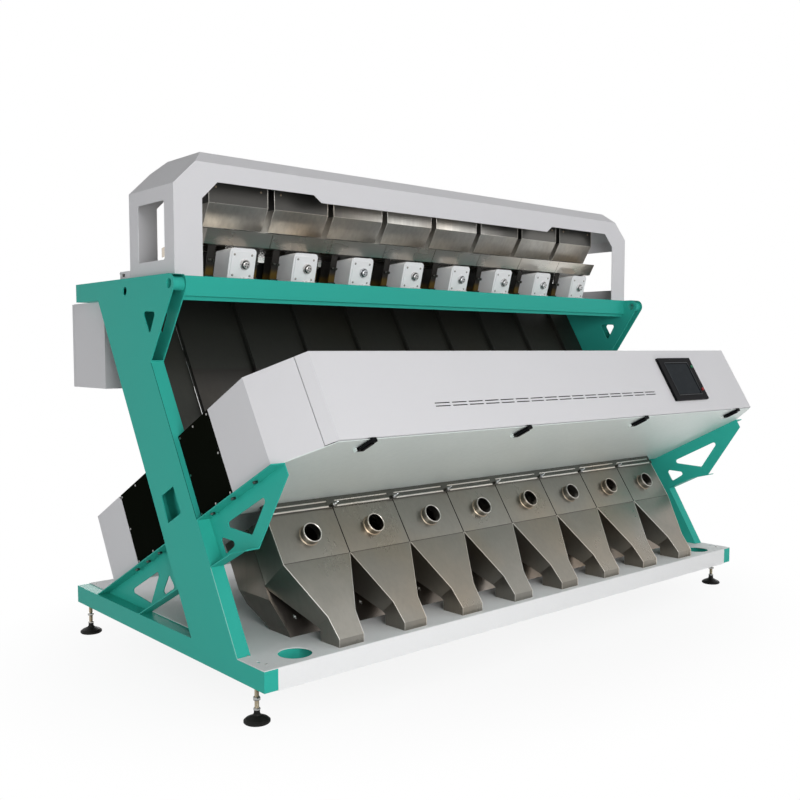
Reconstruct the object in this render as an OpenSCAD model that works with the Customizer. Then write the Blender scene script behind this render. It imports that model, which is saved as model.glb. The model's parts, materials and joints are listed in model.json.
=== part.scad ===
// Eight-lane optical colour sorter.
// X runs along the machine, the front faces -Y and Z is up from the floor.
// Most of the machine leans with its legs. Points of the side view are given by two lengths:
// s runs up the legs from the rails, w runs forward along the brackets.

/* [Machine] */
// Width over the two side frames
machine_w = 3200; // [3120:10:3400]
// Depth of the base from front to back
base_d = 1650; // [1620:10:1750]
// Angle of the legs and chutes from the floor in degrees
leg_angle = 59.3; // [58:0.1:61]
// Angle of the brackets and optical boxes from the floor in degrees
flange_angle = 27; // [25.5:0.5:28.5]
// Place of the legs' middle line where it meets the rails
foot_y = -470; // [-480:1:-460]
// Spacing of the eight lanes
lane_pitch = 336; // [326:1:342]

/* [Base] */
// Height of the rails above the floor
base_clear = 140; // [130:1:150]
// Width of the rails and cross members
rail_w = 60; // [56:1:66]
// Height of the rails and cross members
rail_h = 80; // [76:1:90]
// Sheet thickness of the rails and cross members
rail_wall = 4; // [3:0.5:5]
// Depth of the slim cross member behind the front strip
front_member_d = 24; // [20:1:27]
// Thickness of the deck sheet
deck_t = 3; // [2:0.5:4]
// Diameter of the round hole in each front corner of the deck
deck_hole_d = 132; // [120:1:145]
// Distance of that hole from the side of the machine
deck_hole_in = 201; // [190:1:215]
// Distance of that hole from the front of the base
deck_hole_back = 97; // [90:1:110]
// Width of the slot in the deck over a front foot
access_d = 9; // [7:0.5:12]
// Distance between the ends of that slot
access_l = 14; // [10:1:20]

/* [Feet] */
// Diameter of the threaded stem
stem_d = 16; // [12:1:20]
// Running clearance of the stem in its boss, on the radius
stem_clear = 0.05; // [0.02:0.01:0.1]
// Diameter of the boss that takes the stem
boss_d = 40; // [34:1:46]
// Diameter of the pad
pad_d = 100; // [80:1:110]
// Height of the domed pad
pad_h = 34; // [28:1:38]
// Distance of the front feet from the front of the base
foot_front = 98; // [85:1:110]
// Distance of the rear feet from the back of the base
foot_rear = 78; // [70:1:90]

/* [Side frames] */
// Thickness of the side frames along the machine
frame_t = 60; // [52:1:70]
// Plate thickness of the side frames and brackets
plate_t = 4; // [3:0.5:6]
// Half the breadth of a leg, measured along the brackets
leg_half = 148; // [140:1:156]
// Length up the leg to the joint between leg foot and side frame
joint_s = 490; // [485:1:498]
// Height of the underside of the top beams
beam_z = 1592; // [1580:1:1610]
// Height of the top beams
beam_h = 83; // [78:1:92]
// Place of the back end of the side beams
beam_back = 760; // [740:1:790]
// Length up the leg where the gusset starts
gusset_s = 1200; // [1170:1:1230]
// How far the corner of the gusset stands in front of the leg foot line, before rounding
gusset_tip = 236; // [225:1:245]
// Radius of the gusset tip
gusset_r = 40; // [36:1:44]
// Outer diameter of the cross tube in the gusset tip
tip_tube_d = 56; // [48:1:62]
// Bore of that cross tube
tip_bore_d = 40; // [30:1:42]
// Diameter of the lifting hole in the side beam
lift_hole_d = 36; // [30:1:42]

/* [Brackets] */
// Depth of the brackets below their top flange, measured up the legs
bracket_h = 200; // [190:1:210]
// Reach of the front bracket's top flange
bracket_reach = 737; // [720:1:750]
// Width of the rounded corners of the cut-outs
cut_r = 12; // [8:1:16]
// Diameter of the flange bolts
bolt_d = 12; // [10:1:14]

/* [Optical boxes] */
// Length up the leg to the underside of the boxes
box_low = 490; // [490:1:496]
// Height of the front box, measured up the leg
front_h = 360; // [345:1:370]
// Height of the rear box, measured up the leg
rear_h = 336; // [320:1:350]
// Sheet thickness of the boxes and their covers
sheet_t = 3; // [2:0.5:4]
// How far the box sides stand in from the outside of the side frames
box_inset = 25; // [18:1:30]
// Reach of the front side panels
panel_front = 415; // [405:1:430]
// Reach of the straight part of the console ends
cap_fold = 700; // [680:1:720]
// Reach of the console front
console_front = 912; // [895:1:925]
// How far the console front corners stand in from the box sides
corner_in = 160; // [150:1:170]
// How far the seams of the front cover stand in from the box sides
seam_in = 125; // [118:1:132]
// Reach of the rear side panels, backwards
panel_rear = 478; // [465:1:490]
// Reach of the rear cover, backwards
rear_back = 762; // [745:1:780]
// Height of the window openings, measured up the leg
window_h = 150; // [130:1:165]

/* [Cover and screen] */
// Diameter of the hinge pins
pin_d = 6; // [5:0.5:7]
// Running clearance of the hinge pins on the radius
pin_clear = 0.05; // [0.02:0.01:0.1]
// Wall of the hinge knuckles
knuckle_wall = 2.5; // [2:0.1:3]
// Length of one hinge knuckle
knuckle_l = 40; // [30:1:50]
// Gap round the covers
cover_gap = 2; // [1.5:0.1:3]
// Gap between a seated piece and the sheet that carries it
seat_gap = 0.3; // [0.2:0.05:0.5]
// Length of one ventilation slot
slot_l = 82; // [70:1:86]
// Height of a ventilation slot, measured up the leg
slot_h = 5; // [4:0.5:7]
// Distance between the two rows of slots
slot_rows = 13.5; // [12:0.5:18]
// Number of slots in a row
slot_count = 16; // [12:1:16]
// Place of the middle of the slots along the machine
slot_x = -155; // [-170:1:-140]
// Height of the upper row above the underside of the box, measured up the leg
slot_s = 123; // [110:1:135]
// Place of the left edge of the screen bezel
bezel_x = 728; // [715:1:740]
// Width of the screen bezel
bezel_w = 294; // [288:1:300]
// Height of the screen bezel, measured up the leg
bezel_h = 243; // [236:1:250]
// Height of the bezel's lower edge above the underside of the box
bezel_s = 65; // [60:1:72]
// Thickness of the bezel
bezel_t = 14; // [12:1:18]
// Width of the glass
glass_w = 200; // [190:1:210]
// Height of the glass
glass_h = 176; // [168:1:182]
// Thickness of the glass
glass_t = 4; // [3:0.5:5]
// Diameter of the push buttons
button_d = 16; // [14:0.5:18]
// How far a button stands proud of the bezel
button_out = 6; // [5:0.5:8]
// Clearance round a button on the radius
button_clear = 0.1; // [0.05:0.05:0.2]
// Free travel behind a button
button_travel = 3; // [2:0.5:4]
// Distance between the two buttons, measured up the leg
button_gap = 134; // [120:1:145]
// Distance of the buttons from the bezel's right edge
button_in = 20; // [18:0.5:21]

/* [Latches] */
// Spacing of the four latches
latch_pitch = 845; // [820:1:860]
// Width of a latch
latch_w = 34; // [28:1:40]
// Length of a latch
latch_l = 96; // [85:1:105]
// Thickness of a latch
latch_t = 12; // [10:0.5:14]
// Diameter of the latch pins
latch_pin_d = 6; // [5:0.5:7]

/* [Optics inside] */
// Width of the camera rails
rail_sq = 40; // [34:1:46]
// Width and height of a camera
camera_sq = 70; // [60:1:80]
// Length of a camera
camera_l = 130; // [110:1:150]
// Diameter of a lens
lens_d = 50; // [40:1:56]
// Length of a lens
lens_l = 60; // [50:1:70]
// Reach of the camera rails from the product plane
camera_w = 340; // [330:1:350]
// Width of a lamp
lamp_sq = 44; // [36:1:50]
// Thickness of the windows
window_t = 6; // [5:0.5:8]
// Diameter of the air manifold
manifold_d = 60; // [50:1:66]

/* [Overhead housing] */
// Height of the shoulders of the housing above the beams
shoulder_h = 371; // [355:1:385]
// Height of the roof above the beams
roof_h = 523; // [510:1:540]
// Height of the top of the front face above the beams
brow_h = 471; // [462:1:480]
// Place of the front face of the housing
housing_front = -104; // [-104:1:-98]
// Depth of the sloped brow
brow_d = 60; // [52:1:68]
// Depth of the housing
housing_d = 404; // [395:1:415]
// Sheet thickness of the housing
housing_t = 3; // [2:0.5:4]
// How far the roof corners stand in from the ends
roof_in = 157; // [148:1:165]
// Width of the posts at the ends of the front opening
post_w = 131; // [120:1:140]
// Height of the side parts of the opening above the beams
open_h = 395; // [385:1:405]
// How far the middle of the header hangs below that
header_drop = 31; // [24:1:40]
// Half the width of the middle of the header
header_half = 797; // [770:1:815]
// Height of the sloped corner of the opening
open_corner = 74; // [60:1:85]

/* [Feed] */
// Sheet thickness of hoppers, trays and outlets
pan_t = 2; // [1.5:0.5:3]
// Gap between neighbouring feed hoppers
hopper_gap = 36; // [30:1:44]
// Place of the front wall of the feed hoppers
hopper_front = -8; // [-14:1:0]
// Depth of the feed hoppers at the top
hopper_d = 208; // [195:1:215]
// Height of the bend in the hoppers' front wall above the beams
hopper_bend = 325; // [315:1:335]
// Height of the hoppers' outlet above the beams
hopper_low = 229; // [226:1:236]
// How far the sloping front wall runs back
hopper_back = 58; // [50:1:66]
// Depth of the hoppers' outlet
hopper_slot = 110; // [100:1:118]
// Gap between neighbouring trays
tray_gap = 3; // [2:0.5:6]
// Height of the front edge of the tray floor above the beams
tray_z = 152; // [148:1:154]
// Slope of the tray floors in degrees
tray_slope = 5; // [4:0.5:7]
// Place of the front edge of the tray floors
tray_y = 11; // [4:1:18]
// Length of the tray floors
tray_l = 385; // [375:1:392]
// Height of the tray walls
tray_wall_h = 62; // [56:1:64]
// How far the tray's front wall leans forward
tray_lean = 35; // [28:1:42]
// Running gap between the trays and their springs
tray_clear = 0.3; // [0.2:0.05:0.5]
// Width of a vibrator unit
vib_w = 134; // [124:1:144]
// Height of the vibrator's front edge above the beams
vib_h = 137; // [130:1:141]
// Depth of a vibrator unit
vib_d = 122; // [112:1:130]
// Lean of the vibrator units in degrees
vib_lean = 15; // [12:1:18]
// Place of a vibrator's front edge at beam height
vib_y = -8; // [-12:1:-4]
// Radius of the vibrator's upper corners
vib_r = 18; // [12:1:24]
// Depth of the shelf below the top of the beams
shelf_drop = 40; // [36:1:46]
// Thickness of the shelf
shelf_t = 5; // [4:0.5:7]
// Depth of the shelf behind the front of the hoppers
shelf_d = 290; // [280:1:300]
// Room between the upturned edge of the shelf and the trays
edge_clear = 14; // [10:1:20]
// Height over the beam at which the places of the springs are taken
spring_h = 100; // [90:1:110]
// Thickness of a leaf spring
leaf_t = 6; // [5:0.5:8]

/* [Chutes] */
// Length up the leg to the top of the chutes
chute_top = 1735; // [1720:1:1745]
// Length up the leg to the joint between upper and lower chute
chute_mid = 1235; // [1190:1:1260]
// Length up the leg to the bottom of the chutes
chute_low = 735; // [715:1:760]
// Height of the lips along the chutes
chute_lip = 24; // [18:1:30]
// Gap between neighbouring chutes
chute_gap = 6; // [4:0.5:10]
// Width of the bars behind the chutes
bar_sq = 40; // [34:1:46]
// Distance from the top of the front box up to the sheets beside the chutes
side_sheet_up = 10; // [6:1:20]
// Distance of the ejector bar below the bottom of the chutes
ejector_drop = 130; // [120:1:140]

/* [Outlets] */
// Reach of the front panel of the front outlets from the product plane
outlet_reach = 232; // [226:1:240]
// Length up the leg to the crease of that panel
outlet_crease = 227; // [215:1:240]
// Gap between neighbouring outlets
outlet_gap = 4; // [3:0.5:8]
// Distance of the front lip of the spouts from the front of the base
lip_in = 31; // [29:1:40]
// Height of the front lip of the spouts
lip_h = 33; // [26:1:40]
// Half the width of the spouts at the lip
spout_half = 60; // [52:1:66]
// Depth of the spouts on the deck
spout_d = 116; // [108:1:122]
// Distance below the crease where the taper ends, along the lower panel
taper_l = 250; // [240:1:262]
// Depth of the front outlets behind their panel
outlet_d = 155; // [145:1:160]
// Outer diameter of the round ports
port_d = 84; // [76:1:90]
// Wall of the round ports
port_wall = 2.5; // [2:0.5:4]
// Length of the round ports
port_l = 32; // [26:1:40]
// Length up the leg to the middle of the ports
port_s = 330; // [320:1:340]
// Half the width of the rear outlets on the deck
rear_spout_half = 128; // [118:1:135]
// Place of the front edge of the rear outlets on the deck
rear_spout_y = -560; // [-566:1:-552]
// Depth of the rear outlets on the deck
rear_spout_d = 150; // [140:1:160]
// Height of the rail that carries the outlets, measured up the leg
hang_h = 50; // [44:1:56]
// Thickness of that rail
hang_t = 24; // [20:1:30]

/* [Cabinet] */
// Width of the electrical cabinet
cab_w = 600; // [540:10:660]
// Height of the electrical cabinet
cab_h = 405; // [390:1:420]
// Place of the cabinet's front face
cab_y = 590; // [585:1:600]
// Depth of the cabinet without its door
cab_d = 347; // [335:1:355]
// Depth of the cabinet door
door_d = 18; // [15:1:22]
// Sheet thickness of the cabinet
cab_t = 2; // [1.5:0.5:3]
// Diameter of the door lock
lock_d = 24; // [20:1:28]
// Reach of the lock handle out of the door
lock_out = 55; // [50:1:65]

/* [Hidden] */
$fn = 40;
lane_count = 8;
green = "#2f9b85";
white = "#d6d6da";
black = "#161816";
steel = "#a9a7a3";
half_w = machine_w / 2;
frame_in = half_w - frame_t;
rail_top = base_clear + rail_h;
deck_top = rail_top + deck_t;
front_y = -base_d / 2;
back_y = base_d / 2;
lip_y = front_y + lip_in;
beam_top = beam_z + beam_h;
box_half = half_w - box_inset;
front_top = box_low + front_h;
rear_top = box_low + rear_h;
housing_half = frame_in + plate_t;
lane_w = lane_pitch - chute_gap;
knuckle_r = pin_d / 2 + pin_clear + knuckle_wall;
flange_s = box_low - sheet_t;
eps = 1;

// Side view point from the lengths s and w, as [Y, Z]
function pt(s, w) = [foot_y + s * cos(leg_angle) - w * cos(flange_angle),
  rail_top + s * sin(leg_angle) + w * sin(flange_angle)];
// Length up the leg that reaches a height at a given w
function s_at(z, w) = (z - rail_top - w * sin(flange_angle)) / sin(leg_angle);
// Middle of a lane, counted from the left
function lane_x(i) = (i - (lane_count - 1) / 2) * lane_pitch;
// Arc that rounds the corner b between a and c
function corner_arc(a, b, c, r, n) = let(
    u = (a - b) / norm(a - b), v = (c - b) / norm(c - b), half = acos(u * v) / 2,
    m = b + (u + v) / norm(u + v) * r / sin(half), p = b + u * r / tan(half), q = b + v * r / tan(half),
    a0 = atan2(p[1] - m[1], p[0] - m[0]), turn = atan2(q[1] - m[1], q[0] - m[0]) - a0,
    da = turn > 180 ? turn - 360 : turn < -180 ? turn + 360 : turn)
  [for (i = [0:n]) m + r * [cos(a0 + da * i / n), sin(a0 + da * i / n)]];
// Outline with every corner rounded
function rounded(p, r, n = 5) = [for (i = [0:len(p) - 1])
  each corner_arc(p[(i + len(p) - 1) % len(p)], p[i], p[(i + 1) % len(p)], r, n)];

// Draws a side view outline between two places along the machine
module along_x(x0, x1) {
  translate([x0, 0, 0]) rotate([90, 0, 90]) linear_extrude(x1 - x0) children();
}

// Draws a front view outline between two places from front to back
module along_y(y0, y1) {
  translate([0, y1, 0]) rotate([90, 0, 0]) linear_extrude(y1 - y0) children();
}

// Leaning block between lengths up the leg and reaches along the brackets
module slab(x0, x1, s0, s1, w0, w1) {
  along_x(x0, x1) polygon([pt(s0, w0), pt(s0, w1), pt(s1, w1), pt(s1, w0)]);
}

// Upright block between two corners
module block(a, b) {
  translate(a) cube(b - a);
}

// Carries a shape to a side view point: local Y runs along the brackets, Z stands square to them
module on_flange(x, s, w) {
  p = pt(s, w);
  translate([x, p[0], p[1]]) rotate([-flange_angle, 0, 0]) children();
}

// Carries a shape to a side view point: local Z runs up the leg, Y runs back square to it
module on_leg(x, s, w) {
  p = pt(s, w);
  translate([x, p[0], p[1]]) rotate([leg_angle - 90, 0, 0]) children();
}

// A piece and its mirror image on the other side of the machine
module both_sides() {
  children();
  mirror([1, 0, 0]) children();
}

// Inverted channel, open below
module channel(a, b) {
  difference() {
    block(a, b);
    block([a[0] + rail_wall, a[1] + rail_wall, a[2] - eps], b - [rail_wall, rail_wall, rail_wall]);
  }
}

// Boss for a levelling foot inside the rail
module foot_boss(y) {
  difference() {
    translate([half_w - rail_w / 2, y, base_clear]) cylinder(d = boss_d, h = rail_h - rail_wall / 2);
    foot_bore(y);
  }
}

// Bore for the stem of a levelling foot
module foot_bore(y) {
  translate([half_w - rail_w / 2, y, base_clear - eps])
    cylinder(d = stem_d + 2 * stem_clear, h = rail_h - rail_wall - stem_room + eps);
}

// Room above the stem in its boss
stem_room = 8;

// Two side rails with the bosses for the feet
module base_rails() {
  color(green) both_sides() {
    channel([half_w - rail_w, front_y, base_clear], [half_w, back_y, rail_top]);
    foot_boss(front_y + foot_front);
    foot_boss(back_y - foot_rear);
  }
}

// Cross members that carry the deck: a slim one in front of the spouts and three wide ones
module base_cross_members() {
  y0 = front_y + rail_wall;
  color(green) {
    channel([rail_w - half_w, y0, base_clear], [half_w - rail_w, y0 + front_member_d, rail_top]);
    for (y = [front_y + deck_hole_back + deck_hole_d / 2 + 4, foot_y + 330, back_y - rail_w])
      channel([rail_w - half_w, y, base_clear], [half_w - rail_w, y + rail_w, rail_top]);
  }
}

// Front strip between the rails, folded under the cross member
module front_fascia() {
  color(white) {
    block([rail_w - half_w, front_y, base_clear - deck_t],
      [half_w - rail_w, front_y + rail_wall, rail_top]);
    block([rail_w - half_w, front_y, base_clear - deck_t],
      [half_w - rail_w, front_y + rail_wall + front_member_d, base_clear]);
  }
}

// Deck sheet, notched round the leg feet, with the outlet openings and two round holes
module deck_sheet() {
  notch_y = pt(s_at(rail_top, leg_half), leg_half)[0] - cover_gap;
  color("#c9ccca") difference() {
    block([-half_w, front_y, rail_top], [half_w, back_y, deck_top]);
    both_sides() block([half_w - rail_w, notch_y, rail_top - eps],
      [half_w + eps, back_y + eps, deck_top + eps]);
    both_sides() translate([half_w - deck_hole_in, front_y + deck_hole_back, rail_top - eps])
      cylinder(d = deck_hole_d, h = deck_t + 2 * eps);
    both_sides() translate([half_w - 2 * rail_w / 3, front_y + foot_front, rail_top - eps]) {
      for (d = [-1, 1]) translate([0, d * access_l / 2, 0]) cylinder(d = access_d, h = deck_t + 2 * eps);
      block([-access_d / 2, -access_l / 2, 0], [access_d / 2, access_l / 2, deck_t + 2 * eps]);
    }
    for (i = [0:lane_count - 1]) {
      x = lane_x(i);
      block([x - spout_half + pan_t, lip_y + pan_t, rail_top - eps],
        [x + spout_half - pan_t, lip_y + spout_d - pan_t, deck_top + eps]);
      block([x - rear_spout_half + pan_t, rear_spout_y + pan_t, rail_top - eps],
        [x + rear_spout_half - pan_t, rear_spout_y + rear_spout_d - pan_t, deck_top + eps]);
    }
  }
}

// Lower ends of the legs, welded on the rails
module leg_feet() {
  color(green) both_sides() difference() {
    along_x(frame_in, half_w) leg_outline(leg_half, rail_top, joint_s);
    along_x(frame_in + plate_t, half_w - plate_t)
      leg_outline(leg_half - plate_t, rail_top - 2 * rail_h, joint_s + eps);
  }
}

// Side view of a leg from a height to a length up the leg
module leg_outline(h, z, s) {
  polygon([pt(s_at(z, h), h), pt(s_at(z, -h), -h), pt(s, -h), pt(s, h)]);
}

// Lower corner, tip and upper end of the gusset's front edge, before the tip is rounded
function gusset_points() = [pt(gusset_s, leg_half), [foot_y + 470 - gusset_tip, beam_top],
  [foot_y + 470, beam_top]];

// Middle of the cross tube in the gusset tip
function tip_middle() = let(p = gusset_points(), a = corner_arc(p[0], p[1], p[2], gusset_r, 2),
  c = (a[0] + a[2]) / 2)
  a[1] + (c - a[1]) / norm(c - a[1]) * gusset_r;

// Side view of leg, side beam and gusset in one outline
module frame_outline() {
  g = gusset_points();
  polygon(concat([pt(joint_s, leg_half), pt(joint_s, -leg_half), pt(s_at(beam_z, -leg_half), -leg_half),
    [beam_back, beam_z], [beam_back, beam_top]], corner_arc(g[2], g[1], g[0], gusset_r, 10), [g[0]]));
}

// Hollow of the side frame, running out through the open front of the gusset
module frame_hollow() {
  t = plate_t;
  h = leg_half - t;
  polygon([pt(joint_s - eps, h), pt(joint_s - eps, -h), pt(s_at(beam_z + t, -h), -h),
    [beam_back - t, beam_z + t],
    [beam_back - t, beam_top - t], [foot_y - 2 * gusset_tip, beam_top - t],
      pt(gusset_s + t, leg_half + 2 * gusset_tip),
    pt(gusset_s + t, h)]);
}

// Triangular hole through the gusset
module gusset_hole() {
  g = gusset_points();
  m = (g[0] + g[1]) / 2 + [126, -3];
  polygon(rounded([m + [62, 36], m + [-54, 32], m + [2, -64]], cut_r, 5));
}

// Side frame: box leg, side beam and twin-plate gusset in one welded piece
module side_frame() {
  tip = tip_middle();
  difference() {
    union() {
      difference() {
        along_x(frame_in, half_w) frame_outline();
        along_x(frame_in + plate_t, half_w - plate_t) frame_hollow();
      }
      along_x(frame_in + plate_t / 2, half_w - plate_t / 2) translate(tip) circle(d = tip_tube_d);
    }
    along_x(frame_in - eps, half_w + eps) gusset_hole();
    along_x(frame_in - eps, half_w + eps) translate(tip) circle(d = tip_bore_d);
    along_x(frame_in - eps, half_w + eps) translate([foot_y + 710, beam_z + 30]) circle(d = lift_hole_d);
    // opening in the outer plate of the leg
    along_x(half_w - plate_t - eps, half_w + eps)
      polygon(rounded([pt(joint_s + 62, 46), pt(joint_s + 62, -80),
      pt(joint_s + 182, -72), pt(joint_s + 182, 44)], 4, 3));
  }
}

module right_side_frame() {
  color(green) side_frame();
}

module left_side_frame() {
  color(green) mirror([1, 0, 0]) side_frame();
}

// Bolt holes through a bracket's top flange
module flange_holes(reaches) {
  for (w = reaches) on_flange(frame_in + frame_t / 2, flange_s, w) translate([0, 0, -plate_t * 2])
    cylinder(d = bolt_d + 1, h = plate_t * 4);
}

// Reaches of the flange bolts, front and rear
front_bolts = [230, 400, 570];
rear_bolts = [-270, -390, -510];

// Front brackets: recessed plate, outward flanges and two cut-outs
module front_brackets() {
  low = flange_s - bracket_h;
  t = plate_t;
  color(green) both_sides() difference() {
    along_x(frame_in, half_w) polygon([pt(flange_s, leg_half), pt(low, leg_half), pt(low, 320),
      pt(low - 21, 420),
      pt(flange_s - 48, bracket_reach), pt(flange_s, bracket_reach)]);
    along_x(frame_in + t, half_w + eps) polygon([pt(flange_s - t, leg_half + t), pt(low + t, leg_half + t),
      pt(low + t, 320), pt(low - 21 + t, 418), pt(low - 20, 460), pt(low, bracket_reach + 200),
      pt(flange_s - t, bracket_reach + 200)]);
    along_x(frame_in - eps, frame_in + t + eps)
      polygon(rounded([pt(flange_s - 62, 236), pt(flange_s - 62, 588),
      pt(flange_s - 162, 408)], cut_r, 5));
    along_x(frame_in - eps, frame_in + t + eps)
      polygon(rounded([pt(flange_s - 92, 188), pt(flange_s - 156, 301),
      pt(flange_s - 168, 189)], cut_r, 5));
    flange_holes(front_bolts);
  }
}

// Reach at which a line along the brackets comes down to a height
function reach_at(z, s) = (z - pt(s, 0)[1]) / sin(flange_angle);

// Rear brackets: as the front ones, standing on the rails
module rear_brackets() {
  low = flange_s - bracket_h;
  t = plate_t;
  color(green) both_sides() difference() {
    along_x(frame_in, half_w) polygon([pt(flange_s, -leg_half), pt(low, -leg_half),
      pt(low, reach_at(rail_top, low)),
      pt(flange_s, reach_at(rail_top, flange_s))]);
    along_x(frame_in + t, half_w + eps) polygon([pt(flange_s - t, -leg_half - t),
      pt(low + t, -leg_half - t),
      pt(low + t, reach_at(rail_top - 40, low)), pt(flange_s - t, reach_at(rail_top - 40, flange_s))]);
    along_x(frame_in - eps, frame_in + t + eps)
      polygon(rounded([pt(flange_s - 60, -690), pt(flange_s - 60, -356),
      pt(flange_s - 168, -522)], cut_r, 5));
    along_x(frame_in - eps, frame_in + t + eps)
      polygon(rounded([pt(flange_s - 100, -293), pt(flange_s - 168, -275),
      pt(flange_s - 168, -416)], cut_r, 5));
    flange_holes(rear_bolts);
  }
}

// Front beam between the side frames, a channel open to the back with a set-back lower lip
module top_front_beam() {
  y = housing_front - eps;
  lip = 17;
  color(green) along_x(-frame_in, frame_in) polygon([[y, beam_z], [y, beam_top], [y + frame_t, beam_top],
    [y + frame_t, beam_top - plate_t], [y + plate_t, beam_top - plate_t], [y + plate_t, beam_z + plate_t],
    [y + lip + plate_t, beam_z + plate_t], [y + lip + plate_t, beam_z - lip], [y + lip, beam_z - lip],
      [y + lip, beam_z]]);
}

// Rear beam between the side beams
module top_rear_beam() {
  y = beam_back - 2 * frame_t;
  color(green) difference() {
    block([-frame_in, y, beam_z], [frame_in, y + frame_t, beam_top]);
    block([-frame_in - eps, y + plate_t, beam_z + plate_t],
      [frame_in + eps, y + frame_t - plate_t, beam_top - plate_t]);
  }
}

// Hexagon bolt standing in a bracket flange, head below
module flange_bolt(w) {
  on_flange(frame_in + frame_t / 2, flange_s - plate_t, w) {
    translate([0, 0, -bolt_d * 0.65]) cylinder(d = bolt_d * 1.8, h = bolt_d * 0.65, $fn = 6);
    cylinder(d = bolt_d, h = plate_t * 0.9);
  }
}

// Bolts of all four brackets
module frame_bolts() {
  color("#4a4d4c") both_sides() for (w = concat(front_bolts, rear_bolts)) flange_bolt(w);
}

// Levelling foot: threaded stem, lock nut and domed pad
module levelling_foot(x, y) {
  stem_top = rail_top - rail_wall - stem_room - cover_gap;
  color(black) translate([x, y, 0]) {
    rotate_extrude() polygon([[0, 0], [pad_d / 2 - 3, 0], [pad_d / 2, 3], [pad_d / 2, 9],
      [pad_d / 2 - 8, 16],
      [stem_d, pad_h - 6], [stem_d * 0.8, pad_h], [0, pad_h]]);
    translate([0, 0, pad_h]) cylinder(d = stem_d * 1.6, h = stem_d * 0.8, $fn = 6);
    translate([0, 0, pad_h]) cylinder(d = stem_d, h = stem_top - pad_h);
  }
}

module foot_front_left() {
  levelling_foot(rail_w / 2 - half_w, front_y + foot_front);
}

module foot_front_right() {
  levelling_foot(half_w - rail_w / 2, front_y + foot_front);
}

module foot_rear_left() {
  levelling_foot(rail_w / 2 - half_w, back_y - foot_rear);
}

module foot_rear_right() {
  levelling_foot(half_w - rail_w / 2, back_y - foot_rear);
}

// Dark side panels of the front box
module front_side_panels() {
  color(black) both_sides() slab(box_half - sheet_t, box_half, box_low, front_top, leg_half, panel_front);
}

// Dark side panels of the rear box
module rear_side_panels() {
  color(black) both_sides() slab(box_half - sheet_t, box_half, box_low, rear_top, -panel_rear, -leg_half);
}

// Pan-head screws round the side panels
module panel_screws() {
  margin = 14;
  color("#8d8f8e") both_sides() {
    for (w = [leg_half + margin, (leg_half + panel_front) / 2, panel_front - margin])
      for (s = [box_low + margin, front_top - margin]) screw(s, w);
    for (w = [leg_half + margin, panel_front - margin]) screw((box_low + front_top) / 2, w);
    for (w = [-leg_half - margin, -(leg_half + panel_rear) / 2, margin - panel_rear])
      for (s = [box_low + margin, rear_top - margin]) screw(s, w);
    for (w = [-leg_half - margin, margin - panel_rear]) screw((box_low + rear_top) / 2, w);
  }
}

// One pan-head screw on a side panel
module screw(s, w) {
  p = pt(s, w);
  translate([box_half, p[0], p[1]]) rotate([0, 90, 0]) cylinder(d = 9, h = 2.5);
}

// Plan outline of the right end of the console, drawn as [X, w], from the box middle outwards
function console_plan(x0, w0, inset) = let(x1 = box_half - inset, k = inset * 0.45)
  [[x0, w0], [x1, w0], [x1, cap_fold - k], [box_half - corner_in - k, console_front - inset],
    [x0, console_front - inset]];

// Prism over a plan outline, between two lengths up the leg
module console_prism(plan, s0, s1) {
  lean = [[1, 0, 0, 0], [0, -cos(flange_angle), cos(leg_angle), foot_y],
    [0, sin(flange_angle), sin(leg_angle), rail_top],
    [0, 0, 0, 1]];
  multmatrix(lean) translate([0, 0, s0]) linear_extrude(s1 - s0) polygon(plan);
}

// White ends of the console, from the side panel to the seam of the front cover
module console_end_caps() {
  seam = box_half - seam_in;
  color(white) both_sides() difference() {
    console_prism(console_plan(seam - 60, panel_front, 0), box_low, front_top);
    console_prism(console_plan(seam - 90, panel_front - eps, sheet_t), box_low + sheet_t,
      front_top - sheet_t);
    console_prism([[0, console_front - 52], [seam, console_front - 52], [seam, console_front + eps],
      [0, console_front + eps]],
      box_low - eps, front_top + eps);
  }
}

// Places of the hinge sets along a cover
function hinge_places(half) = [for (k = [-1, -0.5, 0, 0.5, 1]) k * (half - 2 * knuckle_l)];

// Fixed knuckles of a hinge with their pin; the moving knuckle sits between them
module fixed_knuckles(s, w) {
  for (x = hinge_places(box_half - corner_in)) {
    for (d = [-1, 1]) on_leg(x + d * knuckle_l, s, w) rotate([0, 90, 0])
      cylinder(r = knuckle_r, h = knuckle_l - 2 * cover_gap, center = true);
    on_leg(x, s, w) rotate([0, 90, 0]) cylinder(d = pin_d, h = 3 * knuckle_l - 2 * cover_gap,
      center = true);
  }
}

// Moving knuckles of a hinge
module moving_knuckles(s, w) {
  for (x = hinge_places(box_half - corner_in)) on_leg(x, s, w) rotate([0, 90, 0])
    cylinder(r = knuckle_r, h = knuckle_l - cover_gap, center = true);
}

// Bores of the moving knuckles
module knuckle_bores(s, w) {
  for (x = hinge_places(box_half - corner_in)) on_leg(x, s, w) rotate([0, 90, 0])
    cylinder(d = pin_d + 2 * pin_clear, h = 2 * knuckle_l, center = true);
}

// Hinge line of the front cover, just behind its sheet
cover_s = front_top - knuckle_r - 1;
cover_w = console_front - sheet_t - knuckle_r - 1;

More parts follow.
